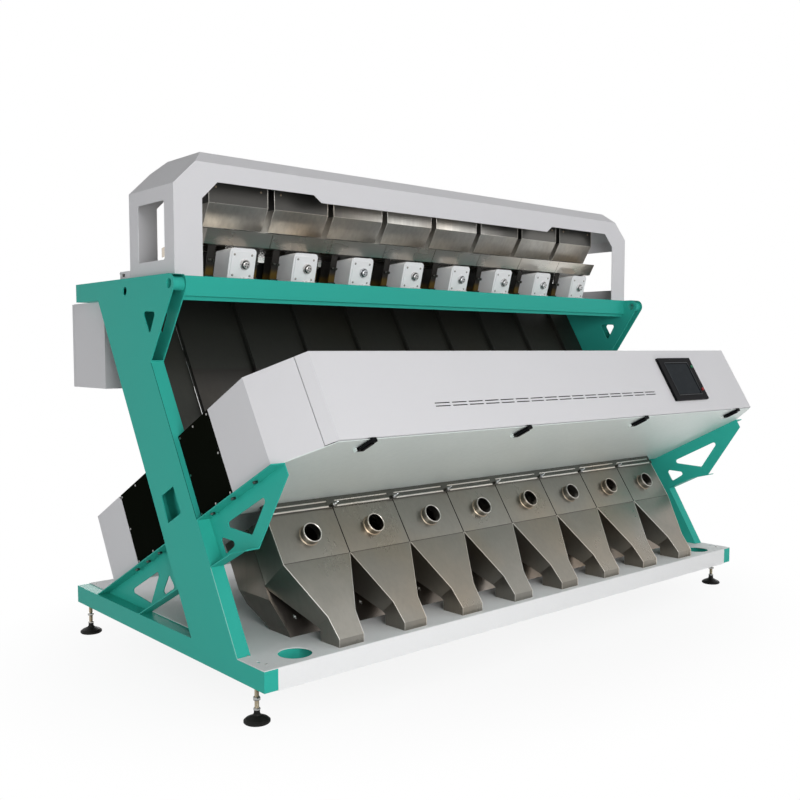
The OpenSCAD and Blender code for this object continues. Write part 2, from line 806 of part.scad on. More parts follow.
// Console top and the inner wall with its window opening, one folded sheet with the hinge knuckles
module console_shell() {
  x = box_half - seam_in - 60;
  x1 = box_half - corner_in - 2 * cover_gap;
  edge = cover_w - cover_gap;
  color(white) {
    difference() {
      union() {
        slab(-x, x, front_top - sheet_t, front_top, leg_half, edge);
        slab(-x1, x1, front_top - sheet_t, front_top, console_front - 50, edge);
        slab(sheet_t - box_half, box_half - sheet_t, box_low, front_top, leg_half, leg_half + sheet_t);
        slab(sheet_t - box_half, box_half - sheet_t, front_top - sheet_t, front_top, leg_half, panel_front);
      }
      window_cut(leg_half);
      for (k = hinge_places(box_half - corner_in))
        slab(k - knuckle_l / 2 - cover_gap / 2, k + knuckle_l / 2 + cover_gap / 2,
        front_top - 40, front_top + eps, cover_w - knuckle_r - cover_gap, cover_w + 20);
    }
    fixed_knuckles(cover_s, cover_w);
  }
}

// Window opening in the inner wall of a box
module window_cut(w) {
  s = box_low + front_h / 2;
  slab(-frame_in + 90, frame_in - 90, s - window_h / 2, s + window_h / 2, w - 20, w + 20);
}

// Bare metal underside of the console with the lugs and pins of the latches
module console_underside() {
  color("#b9c0bb") {
    console_prism([[sheet_t - box_half, leg_half], [sheet_t - box_half, cap_fold],
      [corner_in - box_half, console_front - 3 * sheet_t],
        [box_half - corner_in, console_front - 3 * sheet_t],
      [box_half - sheet_t, cap_fold], [box_half - sheet_t, leg_half]], box_low - sheet_t, box_low);
    for (i = [0:3]) latch_mount(i);
  }
}

// Pin of a latch with the two lugs that hold it
module latch_mount(i) {
  x = latch_x(i);
  on_leg(x, latch_s, latch_back) rotate([0, 90, 0])
    cylinder(d = latch_pin_d, h = latch_w + 2 * sheet_t + 2, center = true);
  for (d = [-1, 1]) {
    a = x + d * (latch_w / 2 + 1 + sheet_t / 2);
    slab(a - sheet_t / 2, a + sheet_t / 2, latch_s - latch_t / 2, box_low - sheet_t / 2, latch_back - 9,
      latch_back + 9);
  }
}

// Plan of the front cover: the front with its two short corner wings
function cover_plan(inset) = let(x = box_half - corner_in - inset * 0.45, y = console_front - inset,
    seam = box_half - seam_in - cover_gap, reach = seam_in_reach() - inset * 1.2)
  [[-seam, reach], [-x, y], [x, y], [seam, reach]];
// Reach of the console corner face at the seam of the cover
function seam_in_reach() = cap_fold + (console_front - cap_fold) * (seam_in + cover_gap) / corner_in;

// Hinged front cover with two rows of slots and the cut-out behind the screen
module console_cover() {
  low = box_low + cover_gap;
  inner = console_front - sheet_t;
  color(white) difference() {
    union() {
      console_prism(concat(cover_plan(0), [for (k = [3:-1:0]) cover_plan(sheet_t)[k]]), low, front_top);
      slab(corner_in - box_half, box_half - corner_in, low, low + sheet_t, console_front - 30,
        console_front);
      moving_knuckles(cover_s, cover_w);
      for (x = hinge_places(box_half - corner_in))
        slab(x - knuckle_l / 2 + cover_gap, x + knuckle_l / 2 - cover_gap, cover_s - 2, cover_s + 2,
          cover_w, inner + 1);
    }
    knuckle_bores(cover_s, cover_w);
    for (i = [0:slot_count - 1]) for (r = [0, 1]) vent_slot(i, r);
    slab(bezel_x + 40, bezel_x + bezel_w - 50, box_low + bezel_s + 40, box_low + bezel_s + bezel_h - 40,
      console_front - 20, console_front + eps);
  }
}

// One ventilation slot, counted from the left
module vent_slot(i, row) {
  pitch = slot_l + 12;
  x = slot_x + (i - (slot_count - 1) / 2) * pitch;
  s = box_low + slot_s - row * slot_rows;
  slab(x - slot_l / 2, x + slot_l / 2, s, s + slot_h, console_front - 20, console_front + eps);
}

// Length up the leg of the middle of the bezel
bezel_mid = box_low + bezel_s + bezel_h / 2;

// Black frame of the touch screen
module screen_bezel() {
  gx = bezel_x + bezel_w / 2;
  color(black) difference() {
    slab(bezel_x, bezel_x + bezel_w, box_low + bezel_s, box_low + bezel_s + bezel_h, console_front,
      console_front + bezel_t);
    slab(gx - glass_w / 2, gx + glass_w / 2, bezel_mid - glass_h / 2, bezel_mid + glass_h / 2,
      console_front + bezel_t - glass_t - 2, console_front + bezel_t + eps);
    for (d = [-1, 1]) button_place(d) cylinder(d = button_d + 2 * button_clear, h = 4 * bezel_t,
      center = true);
  }
}

// Glass of the touch screen
module screen_glass() {
  gx = bezel_x + bezel_w / 2;
  color("#1d2630") slab(gx - glass_w / 2, gx + glass_w / 2, bezel_mid - glass_h / 2,
    bezel_mid + glass_h / 2,
    console_front + bezel_t - glass_t - 2, console_front + bezel_t - 2);
}

// Place of a push button: 1 for the upper, -1 for the lower one
module button_place(d) {
  on_leg(bezel_x + bezel_w - button_in, bezel_mid + d * button_gap / 2, console_front) rotate([90, 0, 0])
    children();
}

// Push button running in the bezel
module push_button(d) {
  button_place(d) translate([0, 0, button_travel + 1])
    cylinder(d = button_d, h = bezel_t + button_out - button_travel - 1);
}

module green_button() {
  color("#1f8f5f") push_button(1);
}

module red_button() {
  color("#c22a2a") push_button(-1);
}

// Hinge line of the latches below the underside
latch_s = box_low - sheet_t - latch_t / 2 - 2;
latch_back = console_front + 6 - latch_l;

// Place of a latch along the machine, counted from the left
function latch_x(i) = (i - 1.5) * latch_pitch;

// Latch whose tip closes up against the lower edge of the front cover
module latch(i) {
  x = latch_x(i);
  r = latch_t / 2;
  color(black) difference() {
    union() {
      on_leg(x, latch_s, latch_back) rotate([0, 90, 0]) cylinder(d = latch_t, h = latch_w, center = true);
      slab(x - latch_w / 2 + 1, x + latch_w / 2 - 1, latch_s - r + 1, latch_s + r - 1, latch_back + 1,
        console_front + 3);
      slab(x - latch_w / 2 + 4, x + latch_w / 2 - 4, latch_s - 2, box_low - 1, console_front + 1,
        console_front + 6);
      slab(x - 7, x + 7, latch_s - r - 4, latch_s - 1, latch_back + 14, console_front - 10);
    }
    on_leg(x, latch_s, latch_back) rotate([0, 90, 0])
      cylinder(d = latch_pin_d + 2 * pin_clear, h = 2 * latch_w, center = true);
  }
}

module latch_1() {
  latch(0);
}

module latch_2() {
  latch(1);
}

module latch_3() {
  latch(2);
}

module latch_4() {
  latch(3);
}

// Hinge line of the rear cover
rear_hinge_s = rear_top - knuckle_r - 1;
rear_hinge_w = -panel_rear - knuckle_r - 1;

// Rear box: top, inner wall with its window opening, and bare underside, one folded sheet
module rear_shell() {
  x = box_half - sheet_t;
  t = sheet_t;
  low = box_low - t;
  hinge = rear_hinge_w + knuckle_r / 2;
  back = 3 * t - rear_back;
  color("#b9c0bb") {
    difference() {
      along_x(-x, x) polygon([pt(low, back), pt(low, -leg_half), pt(rear_top, -leg_half),
        pt(rear_top, hinge),
        pt(rear_top - t, hinge), pt(rear_top - t, -leg_half - t), pt(box_low, -leg_half - t),
          pt(box_low, back)]);
      window_cut(-leg_half);
      for (k = hinge_places(box_half - corner_in)) slab(k - knuckle_l / 2 - cover_gap / 2,
        k + knuckle_l / 2 + cover_gap / 2, rear_top - 40, rear_top + eps, rear_hinge_w - 20,
        rear_hinge_w + knuckle_r + cover_gap);
    }
    fixed_knuckles(rear_hinge_s, rear_hinge_w);
  }
}

// White hood of the rear box, hinged along its top edge
module rear_cover() {
  x = box_half;
  t = sheet_t;
  low = box_low + cover_gap;
  front = -panel_rear - 2 * knuckle_r - 1 - cover_gap;
  side = -panel_rear - cover_gap;
  notch = rear_top - 2 * knuckle_r - 1 - cover_gap;
  color(white) difference() {
    union() {
      difference() {
        along_x(-x, x) polygon([pt(low, -rear_back), pt(low, side), pt(notch, side), pt(notch, front),
          pt(rear_top, front), pt(rear_top, -rear_back)]);
        along_x(t - x, x - t) polygon([pt(low - eps, t - rear_back), pt(low - eps, side + 40),
          pt(rear_top - t, side + 40),
          pt(rear_top - t, t - rear_back)]);
      }
      moving_knuckles(rear_hinge_s, rear_hinge_w);
      for (k = hinge_places(box_half - corner_in))
        slab(k - knuckle_l / 2 + cover_gap, k + knuckle_l / 2 - cover_gap,
        rear_top - t - 1, rear_top - 1, front - 4, rear_hinge_w);
    }
    knuckle_bores(rear_hinge_s, rear_hinge_w);
  }
}

// Windows between the boxes and the product
module window_glass() {
  s = box_low + front_h / 2;
  x = frame_in - 60;
  color("#9fb8bd") {
    near = leg_half + sheet_t + seat_gap;
    slab(-x, x, s - window_h / 2 - 20, s + window_h / 2 + 20, near, near + window_t);
    slab(-x, x, s - window_h / 2 - 20, s + window_h / 2 + 20, -near - window_t, -near);
  }
}

// Hollow leaning bar across a box
module hollow_bar(s, w, sq) {
  x = box_half - sheet_t;
  difference() {
    slab(-x, x, s, s + sq, w, w + sq);
    slab(-x - eps, x + eps, s + sheet_t, s + sq - sheet_t, w + sheet_t, w + sq - sheet_t);
  }
}

// Bars that carry the cameras across both boxes
module camera_rails() {
  s = box_low + front_h / 2 - camera_sq / 2 - rail_sq;
  color("#6d7170") {
    hollow_bar(s, camera_w, rail_sq);
    hollow_bar(s, -camera_w - rail_sq, rail_sq);
  }
}

// Cameras, one for each pair of lanes on each side, looking at the product plane
module cameras() {
  s = box_low + front_h / 2;
  color("#3a3f44") for (i = [0:2:lane_count - 2]) for (d = [1, -1]) {
    x = lane_x(i) + lane_pitch / 2;
    w = d * (camera_w + rail_sq / 2);
    slab(x - camera_sq / 2, x + camera_sq / 2, s - camera_sq / 2, s + camera_sq / 2, w - camera_l / 2,
      w + camera_l / 2);
    on_leg(x, s, w) rotate([-90 * d, 0, 0]) cylinder(d = lens_d, h = camera_l / 2 + lens_l);
  }
}

// Lamps above and below each window
module lamps() {
  s = box_low + front_h / 2;
  off = window_h / 2 + 24;
  color("#d9dde0") for (w = [leg_half + 24, -leg_half - 24 - lamp_sq]) {
    hollow_bar(s + off, w, lamp_sq);
    hollow_bar(s - off - lamp_sq, w, lamp_sq);
  }
}

// Ejector bar behind the falling product with one valve block per lane
module ejector_bar() {
  s = chute_low - ejector_drop;
  color("#7c8085") {
    slab(-frame_in, frame_in, s, s + 36, -70, -34);
    for (i = [0:lane_count - 1]) slab(lane_x(i) - 130, lane_x(i) + 130, s - 6, s + 42, -118, -68);
    for (i = [0:lane_count - 1]) for (k = [-3:3]) on_leg(lane_x(i) + k * 40, s + 18, -36) rotate([90, 0, 0])
      cylinder(d = 12, h = 16);
  }
}

// Air manifold along the rear box
module air_manifold() {
  x = box_half - sheet_t;
  color("#8a9096") on_leg(-x, box_low + sheet_t + manifold_d / 2 + 12, -(leg_half + panel_rear) / 2)
    rotate([0, 90, 0])
    difference() {
      cylinder(d = manifold_d, h = 2 * x);
      translate([0, 0, 2 * sheet_t]) cylinder(d = manifold_d - 2 * sheet_t, h = 2 * x - 4 * sheet_t);
    }
}

// Front view of the housing as a whole, drawn as [X, Z]
function housing_front_view(t) = let(x = housing_half - t, k = t * 0.41)
  [[x, beam_top - (t > 0 ? eps : 0)], [x, beam_top + shoulder_h - k],
    [housing_half - roof_in - k, beam_top + roof_h - t],
   [roof_in - housing_half + k, beam_top + roof_h - t], [-x, beam_top + shoulder_h - k],
     [-x, beam_top - (t > 0 ? eps : 0)]];

// Side view of the housing, drawn as [Y, Z]
function housing_side_view(t) = let(y0 = housing_front + t, y1 = housing_front + housing_d - t,
  k = t * 0.45,
    zb = beam_top - (t > 0 ? eps : 0))
  [[y0, zb], [y0, beam_top + brow_h - k], [housing_front + brow_d + k, beam_top + roof_h - t],
   [housing_front + housing_d - brow_d - k, beam_top + roof_h - t], [y1, beam_top + brow_h - k], [y1, zb]];

// Opening in the front and back of the housing with its stepped header
function opening_half() = [[housing_half - post_w, beam_top - eps],
  [housing_half - post_w, beam_top + open_h - open_corner],
  [housing_half - post_w - open_corner, beam_top + open_h],
    [header_half + header_drop * 1.35, beam_top + open_h],
  [header_half, beam_top + open_h - header_drop]];

// White housing over the feed, open at the front and back, with windows in its ends
module top_housing() {
  right = opening_half();
  left = [for (k = [4:-1:0]) [-right[k][0], right[k][1]]];
  mid = housing_front + housing_d / 2;
  color(white) difference() {
    intersection() {
      along_y(housing_front, housing_front + housing_d) polygon(housing_front_view(0));
      along_x(-housing_half, housing_half) polygon(housing_side_view(0));
    }
    intersection() {
      along_y(housing_front, housing_front + housing_d) polygon(housing_front_view(housing_t));
      along_x(-housing_half, housing_half) polygon(housing_side_view(housing_t));
    }
    along_y(housing_front - eps, housing_front + housing_d + eps) polygon(concat(right, left));
    along_x(-housing_half - eps, housing_half + eps)
      polygon(rounded([[mid - 120, beam_top + 67], [mid - 120, beam_top + 310],
      [mid + 120, beam_top + 310], [mid + 120, beam_top + 67]], cut_r, 5));
    for (i = [0:lane_count - 1]) block([lane_x(i) - hopper_half() + 20, hopper_front + 20,
      beam_top + roof_h - 2 * housing_t],
      [lane_x(i) + hopper_half() - 20, hopper_front + hopper_d - 20, beam_top + roof_h + eps]);
  }
}

// Half the width of a feed hopper
function hopper_half() = (lane_pitch - hopper_gap) / 2;

// Side view of a feed hopper's body
function hopper_view(t) = let(top = beam_top + roof_h - housing_t + (t > 0 ? eps : 0),
  low = beam_top + hopper_low - (t > 0 ? eps : 0))
  [[hopper_front + t, top], [hopper_front + t, beam_top + hopper_bend],
    [hopper_front + hopper_back + t * 1.2, low],
   [hopper_front + hopper_back + hopper_slot - t * 1.2, low],
     [hopper_front + hopper_d - t, beam_top + hopper_bend],
   [hopper_front + hopper_d - t, top]];

// Feed hoppers hanging from the roof of the housing
module feed_hoppers() {
  color(steel) for (i = [0:lane_count - 1]) difference() {
    along_x(lane_x(i) - hopper_half(), lane_x(i) + hopper_half()) polygon(hopper_view(0));
    along_x(lane_x(i) - hopper_half() + pan_t, lane_x(i) + hopper_half() - pan_t)
      polygon(hopper_view(pan_t));
  }
}

// Height of the underside of the tray floors at a place from front to back
function tray_under(y) = beam_top + tray_z - (y - tray_y) * tan(tray_slope);

// One vibrating tray, open to the back
module feed_tray(i) {
  x = lane_x(i);
  h = (lane_pitch - tray_gap) / 2;
  end = tray_y + tray_l;
  front = [tray_y - tray_lean, beam_top + tray_z + tray_wall_h];
  color(steel) difference() {
    along_x(x - h, x + h) polygon([[tray_y, tray_under(tray_y)], front, [tray_y + 90, front[1]],
      [end, tray_under(end) + 42],
      [end, tray_under(end)]]);
    along_x(x - h + pan_t, x + h - pan_t) polygon([[tray_y + pan_t, tray_under(tray_y) + pan_t],
      [front[0] + pan_t, front[1] + eps], [end + eps, front[1] + eps],
        [end + eps, tray_under(end + eps) + pan_t]]);
  }
}

module feed_tray_1() {
  feed_tray(0);
}

module feed_tray_2() {
  feed_tray(1);
}

module feed_tray_3() {
  feed_tray(2);
}

module feed_tray_4() {
  feed_tray(3);
}

module feed_tray_5() {
  feed_tray(4);
}

module feed_tray_6() {
  feed_tray(5);
}

module feed_tray_7() {
  feed_tray(6);
}

module feed_tray_8() {
  feed_tray(7);
}

// Top of the shelf that carries the vibrators
shelf_z = beam_top - shelf_drop;

// Vibrator unit: leaning white cover, front plate and cable socket
module vibrators() {
  top = beam_top + vib_h;
  run = tan(vib_lean);
  y_at = vib_y + shelf_drop * run;
  side = [[y_at, shelf_z], [vib_y - vib_h * run, top], [vib_y - vib_h * run + vib_d, top - 8],
    [y_at + vib_d, shelf_z]];
  color(white) for (i = [0:lane_count - 1]) translate([lane_x(i), 0, 0]) {
    intersection() {
      along_x(-vib_w / 2, vib_w / 2) polygon(side);
      along_y(vib_y - 2 * vib_d, vib_y + 2 * vib_d)
        polygon(concat([[-vib_w / 2, shelf_z - eps], [vib_w / 2, shelf_z - eps]],
        corner_arc([vib_w / 2, shelf_z], [vib_w / 2, top], [-vib_w / 2, top], vib_r, 6),
        corner_arc([vib_w / 2, top], [-vib_w / 2, top], [-vib_w / 2, shelf_z], vib_r, 6)));
    }
    translate([0, vib_y, beam_top]) rotate([vib_lean, 0, 0]) {
      block([-vib_w / 2 + 10, -3, 8], [vib_w / 2 - 10, 1, vib_h - 10]);
      translate([12, -2, vib_h * 0.52]) rotate([90, 0, 0]) cylinder(d = 30, h = 11);
      translate([12, -12, vib_h * 0.52]) rotate([90, 0, 0]) cylinder(d = 18, h = 7);
    }
  }
}

// Leaf springs between the shelf and the trays
module leaf_springs() {
  run = tan(vib_lean);
  color("#a8792c") for (i = [0:lane_count - 1]) for (p = [[-112, 60, 36], [112, 60, 36], [0, 235, 120]]) {
    y1 = p[1] - spring_h * run;
    z0 = tray_under(y1) - tray_clear;
    z1 = tray_under(y1 + leaf_t) - tray_clear;
    along_x(lane_x(i) + p[0] - p[2] / 2, lane_x(i) + p[0] + p[2] / 2)
      polygon([[y1 + (z0 - shelf_z) * run, shelf_z], [y1, z0],
      [y1 + leaf_t, z1], [y1 + leaf_t + (z0 - shelf_z) * run, shelf_z]]);
  }
}

// Shelf between the side frames, with its back edge turned up below the trays
module feed_shelf() {
  back = hopper_front + shelf_d;
  x = lane_count * lane_pitch / 2;
  color("#3c4140") {
    block([-frame_in, housing_front - eps + plate_t, shelf_z - shelf_t], [frame_in, back, shelf_z]);
    block([-x, back - shelf_t, shelf_z - eps], [x, back, tray_under(back) - edge_clear]);
  }
}

// One chute between two lengths up the leg: floor with a raised lip on each side
module chute(i, s0, s1) {
  x = lane_x(i);
  h = lane_w / 2;
  slab(x - h, x + h, s0, s1, 0, pan_t);
  slab(x - h, x - h + pan_t, s0, s1, pan_t, chute_lip);
  slab(x + h - pan_t, x + h, s0, s1, pan_t, chute_lip);
}

// Dark upper chutes with the two bars that carry them and the sheets that close the sides
module chutes() {
  side = lane_count * lane_pitch / 2;
  color("#20211e") {
    for (i = [0:lane_count - 1]) chute(i, chute_mid, chute_top);
    both_sides() slab(side, frame_in, front_top + side_sheet_up, chute_top, 0, pan_t);
    for (s = [chute_mid + 60, chute_top - 120]) slab(-frame_in, frame_in, s, s + bar_sq, -bar_sq, 0);
  }
}

// Paler lower chutes with their bar
module lower_chutes() {
  x = lane_count * lane_pitch / 2 - chute_gap;
  color("#5b5a52") {
    for (i = [0:lane_count - 1]) chute(i, chute_low, chute_mid);
    slab(-frame_in, frame_in, chute_low + 160, chute_low + 160 + bar_sq, -bar_sq, 0);
    slab(-x, x, chute_low + 161, chute_low + 159 + bar_sq, 1 - bar_sq, pan_t / 2);
  }
}

// Corners of the front outlets in side view, drawn in by a sheet thickness
function outlet_view(t) = let(k = t * 1.3, top = pt(flange_s - hang_h, outlet_reach),
  crease = pt(outlet_crease, outlet_reach + 12),
    back = pt(flange_s - hang_h, outlet_reach - outlet_d), z0 = deck_top - (t > 0 ? eps : 0),
      open = t > 0 ? eps : 0)
  [top + [k, open], crease + [k, 0], [lip_y + k, deck_top + lip_h], [lip_y + k, z0],
    [lip_y + spout_d - k, z0],
   [lip_y + spout_d - k, deck_top + lip_h + 14], pt(outlet_crease - 60, outlet_reach - outlet_d) - [k, 0],
     back + [-k, open]];

// Half widths of a front outlet, seen square to its lower panel: full at the crease, narrow at the spout
module outlet_taper(i, t) {
  full = (lane_pitch - outlet_gap) / 2 - t;
  crease = pt(outlet_crease, outlet_reach + 12);
  dir = [lip_y, deck_top + lip_h] - crease;
  tilt = atan2(-dir[1], -dir[0]);
  narrow = spout_half + 8 - t;
  translate([lane_x(i), crease[0], crease[1]]) rotate([tilt - 90, 0, 0]) along_y(-600, 600)
    polygon([[-full, 700], [-full, 0],
    [-narrow, -taper_l], [t - spout_half, -norm(dir) - 8], [t - spout_half, -norm(dir) - 400],
      [spout_half - t, -norm(dir) - 400],
    [spout_half - t, -norm(dir) - 8], [narrow, -taper_l], [full, 0], [full, 700]]);
}

// Front outlets: upper duct, tapering panel and spout on the deck, with a short round port
module front_outlets() {
  full = (lane_pitch - outlet_gap) / 2;
  color(steel) for (i = [0:lane_count - 1]) difference() {
    union() {
      difference() {
        intersection() {
          along_x(lane_x(i) - full, lane_x(i) + full) polygon(outlet_view(0));
          outlet_taper(i, 0);
        }
        intersection() {
          along_x(lane_x(i) - full + pan_t, lane_x(i) + full - pan_t) polygon(outlet_view(pan_t));
          outlet_taper(i, pan_t);
        }
      }
      port_place(i) translate([0, 0, -1]) cylinder(d = port_d, h = port_l + 1);
    }
    port_place(i) translate([0, 0, -20]) cylinder(d = port_d - 2 * port_wall, h = port_l + 40);
  }
}

// Middle of a port on the upper panel, its axis square to the panel
module port_place(i) {
  a = pt(flange_s - hang_h, outlet_reach);
  b = pt(outlet_crease, outlet_reach + 12);
  m = a + (b - a) * (flange_s - hang_h - port_s) / (flange_s - hang_h - outlet_crease);
  translate([lane_x(i), m[0], m[1]]) rotate([atan2(a[1] - b[1], a[0] - b[0]), 0, 0]) children();
}

// Side view of the rear outlets
function rear_view(t) = let(k = t * 1.2, z0 = deck_top - (t > 0 ? eps : 0), open = t > 0 ? eps : 0,
    w1 = outlet_reach - outlet_d - 3, w0 = 20 - leg_half)
  [pt(flange_s - hang_h, w1) + [k, open], pt(outlet_crease - 80, w1) + [k, 0], [rear_spout_y + k, z0],
    [rear_spout_y + rear_spout_d - k, z0],
   pt(outlet_crease - 60, w0) - [k, 0], pt(flange_s - hang_h, w0) + [-k, open]];

// Rear outlets behind the front ones
module rear_outlets() {
  full = (lane_pitch - outlet_gap) / 2;
  z1 = pt(outlet_crease - 60, 0)[1];
  color("#6f625a") for (i = [0:lane_count - 1]) difference() {
    intersection() {
      along_x(lane_x(i) - full, lane_x(i) + full) polygon(rear_view(0));
      along_y(-1500, 1500) rear_taper(lane_x(i), full, rear_spout_half, z1);
    }
    intersection() {
      along_x(lane_x(i) - full + pan_t, lane_x(i) + full - pan_t) polygon(rear_view(pan_t));
      along_y(-1500, 1500) rear_taper(lane_x(i), full - pan_t, rear_spout_half - pan_t, z1);
    }
  }
}

// Front view of a rear outlet
module rear_taper(x, full, narrow, z1) {
  polygon([[x - full, z1 + 900], [x - full, z1], [x - narrow, deck_top + 20],
    [x - narrow, deck_top - 2 * eps],
    [x + narrow, deck_top - 2 * eps], [x + narrow, deck_top + 20], [x + full, z1], [x + full, z1 + 900]]);
}

// Rail below the box from which the outlets hang, with a clamp at each seam
module outlet_rail() {
  x = lane_count * lane_pitch / 2;
  low = flange_s - hang_h;
  color("#8f9490") {
    slab(-x, x, low, box_low - sheet_t - seat_gap, outlet_reach - hang_t, outlet_reach);
    slab(-x, x, low, low + hang_h / 3, outlet_reach - 1, outlet_reach + 8);
    for (i = [1:lane_count - 1]) slab(lane_x(i) - lane_pitch / 2 - 14, lane_x(i) - lane_pitch / 2 + 14,
      low + 4, low + hang_h / 3 - 2,
      outlet_reach + 7, outlet_reach + 22);
  }
}

// Left face of the cabinet
cab_x = -frame_in + 0.5;

// Electrical cabinet below the rear beam, open at the back
module electrical_cabinet() {
  z1 = beam_z;
  color(white) {
    difference() {
      block([cab_x, cab_y, z1 - cab_h], [cab_x + cab_w, cab_y + cab_d, z1]);
      block([cab_x + cab_t, cab_y + cab_t, z1 - cab_h + cab_t],
        [cab_x + cab_w - cab_t, cab_y + cab_d + eps, z1 - cab_t]);
    }
    for (z = [z1 - cab_h * 0.8, z1 - cab_h * 0.2]) cab_knuckle(z, -1);
    for (z = [z1 - cab_h * 0.8, z1 - cab_h * 0.2]) cab_knuckle(z, 1);
    for (z = [z1 - cab_h * 0.8, z1 - cab_h * 0.2]) translate([cab_hinge_x, cab_hinge_y, z])
      cylinder(d = pin_d, h = 3 * knuckle_l - 2 * cover_gap, center = true);
  }
}

// Hinge line of the cabinet door
cab_hinge_x = cab_x + cab_w + knuckle_r + 0.5;
cab_hinge_y = cab_y + cab_d + cover_gap + knuckle_r;

// Fixed knuckle of the cabinet hinge with its leaf along the cabinet's side
module cab_knuckle(z, d) {
  l = knuckle_l - 2 * cover_gap;
  translate([cab_hinge_x, cab_hinge_y, z + d * knuckle_l]) {
    cylinder(r = knuckle_r, h = l, center = true);
    block([-knuckle_r - 0.5, -knuckle_r - 40, -l / 2], [cab_t - knuckle_r, 0, l / 2]);
  }
}

// Cabinet door with its moving knuckles and the hole for its lock
module cabinet_door() {
  z1 = beam_z;
  y0 = cab_y + cab_d + cover_gap;
  color(white) difference() {
    union() {
      difference() {
        block([cab_x, y0, z1 - cab_h], [cab_x + cab_w - cover_gap, y0 + door_d, z1 - cover_gap]);
        block([cab_x + cab_t, y0 - eps, z1 - cab_h + cab_t],
          [cab_x + cab_w - cover_gap - cab_t, y0 + door_d - cab_t,
          z1 - cover_gap - cab_t]);
      }
      for (z = [z1 - cab_h * 0.8, z1 - cab_h * 0.2]) translate([cab_hinge_x, cab_hinge_y, z]) {
        cylinder(r = knuckle_r, h = knuckle_l - cover_gap, center = true);
        block([-knuckle_r - cover_gap - 2 * cab_t, knuckle_r - 0.5 - cab_t, cover_gap / 2 - knuckle_l / 2],
          [0, knuckle_r - 0.5, knuckle_l / 2 - cover_gap / 2]);
      }
    }
    lock_place() cylinder(d = lock_d * 0.7 + 2 * pin_clear, h = 4 * door_d, center = true);
    for (z = [z1 - cab_h * 0.8, z1 - cab_h * 0.2]) translate([cab_hinge_x, cab_hinge_y, z])
      cylinder(d = pin_d + 2 * pin_clear, h = 2 * knuckle_l, center = true);
  }
}

// Place of the lock on the outside of the door, its axis pointing back
module lock_place() {
  translate([cab_x + 50, cab_y + cab_d + cover_gap + door_d, beam_z - cab_h / 2]) rotate([-90, 0, 0])
    children();
}

// Quarter-turn lock: handle, barrel and the cam that turns behind the cabinet's edge
module cabinet_lock() {
  color("#55585a") lock_place() {
    cylinder(d = lock_d, h = 7);
    translate([0, 0, 6]) cylinder(d = lock_d * 0.6, h = lock_out - 14);
    translate([-lock_d * 0.35, -lock_d * 1.3, lock_out - 14]) cube([lock_d * 0.7, lock_d * 2.6, 14]);
    translate([0, 0, -cab_t - 6]) cylinder(d = lock_d * 0.7, h = cab_t + 7);
    translate([-lock_d * 0.35, -lock_d * 0.35, -cab_t - 9]) cube([lock_d * 0.7, lock_d * 1.4, 3.5]);
  }
}

base_rails();
base_cross_members();
front_fascia();
deck_sheet();
leg_feet();
left_side_frame();
right_side_frame();
front_brackets();
rear_brackets();
top_front_beam();
top_rear_beam();
frame_bolts();
foot_front_left();
foot_front_right();
foot_rear_left();
foot_rear_right();
front_side_panels();
rear_side_panels();
panel_screws();
console_end_caps();
console_shell();
console_underside();
console_cover();
screen_bezel();
screen_glass();
green_button();
red_button();
latch_1();
latch_2();
latch_3();
latch_4();
rear_shell();
rear_cover();
window_glass();
cameras();
camera_rails();
lamps();
ejector_bar();
air_manifold();
top_housing();
feed_hoppers();
feed_tray_1();
feed_tray_2();
feed_tray_3();
feed_tray_4();
feed_tray_5();
feed_tray_6();
feed_tray_7();
feed_tray_8();
vibrators();
leaf_springs();
feed_shelf();
chutes();
lower_chutes();
front_outlets();
rear_outlets();
outlet_rail();
electrical_cabinet();
cabinet_door();
cabinet_lock();
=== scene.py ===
"""Looks of an eight-lane optical colour sorter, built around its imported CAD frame."""

import json
import logging
import math
from dataclasses import dataclass
from enum import Enum
from typing import Any, Iterable, Sequence

import bmesh
import bpy
from mathutils import Matrix, Vector

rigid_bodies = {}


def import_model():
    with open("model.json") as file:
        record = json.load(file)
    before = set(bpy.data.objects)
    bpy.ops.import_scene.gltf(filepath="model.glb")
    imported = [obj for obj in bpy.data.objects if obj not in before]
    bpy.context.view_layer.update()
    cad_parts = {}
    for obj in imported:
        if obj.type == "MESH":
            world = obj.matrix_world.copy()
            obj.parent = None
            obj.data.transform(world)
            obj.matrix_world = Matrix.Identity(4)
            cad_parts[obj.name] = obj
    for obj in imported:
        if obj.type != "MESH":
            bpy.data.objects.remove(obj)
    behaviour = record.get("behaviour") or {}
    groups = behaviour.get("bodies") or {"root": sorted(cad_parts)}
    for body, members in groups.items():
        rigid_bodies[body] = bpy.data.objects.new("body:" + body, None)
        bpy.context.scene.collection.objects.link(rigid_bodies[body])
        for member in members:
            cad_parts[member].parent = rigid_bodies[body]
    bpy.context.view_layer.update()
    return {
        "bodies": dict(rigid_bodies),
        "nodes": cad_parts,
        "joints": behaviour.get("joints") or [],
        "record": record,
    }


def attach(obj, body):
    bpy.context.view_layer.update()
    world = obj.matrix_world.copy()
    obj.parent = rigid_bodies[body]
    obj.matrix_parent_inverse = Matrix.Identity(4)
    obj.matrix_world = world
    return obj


LOG = logging.getLogger("sorter")
Colour = tuple[float, float, float]
Triple = tuple[float, float, float]
Profile = Sequence[tuple[float, float]]
MM = 0.001
SHARP_ANGLE = 32.0


def move(x: float, y: float, z: float) -> Matrix:
    """Shift by a distance along each axis."""
    return Matrix.Translation((x, y, z))


def turn(angle: float, axis: str) -> Matrix:
    """Turn about an axis, in degrees."""
    return Matrix.Rotation(math.radians(angle), 4, axis)


class Axis(Enum):
    """Direction of a grain in a rolled or brushed sheet."""

    X = (0.02, 1.0, 1.0)
    Y = (1.0, 0.02, 1.0)
    Z = (1.0, 1.0, 0.02)


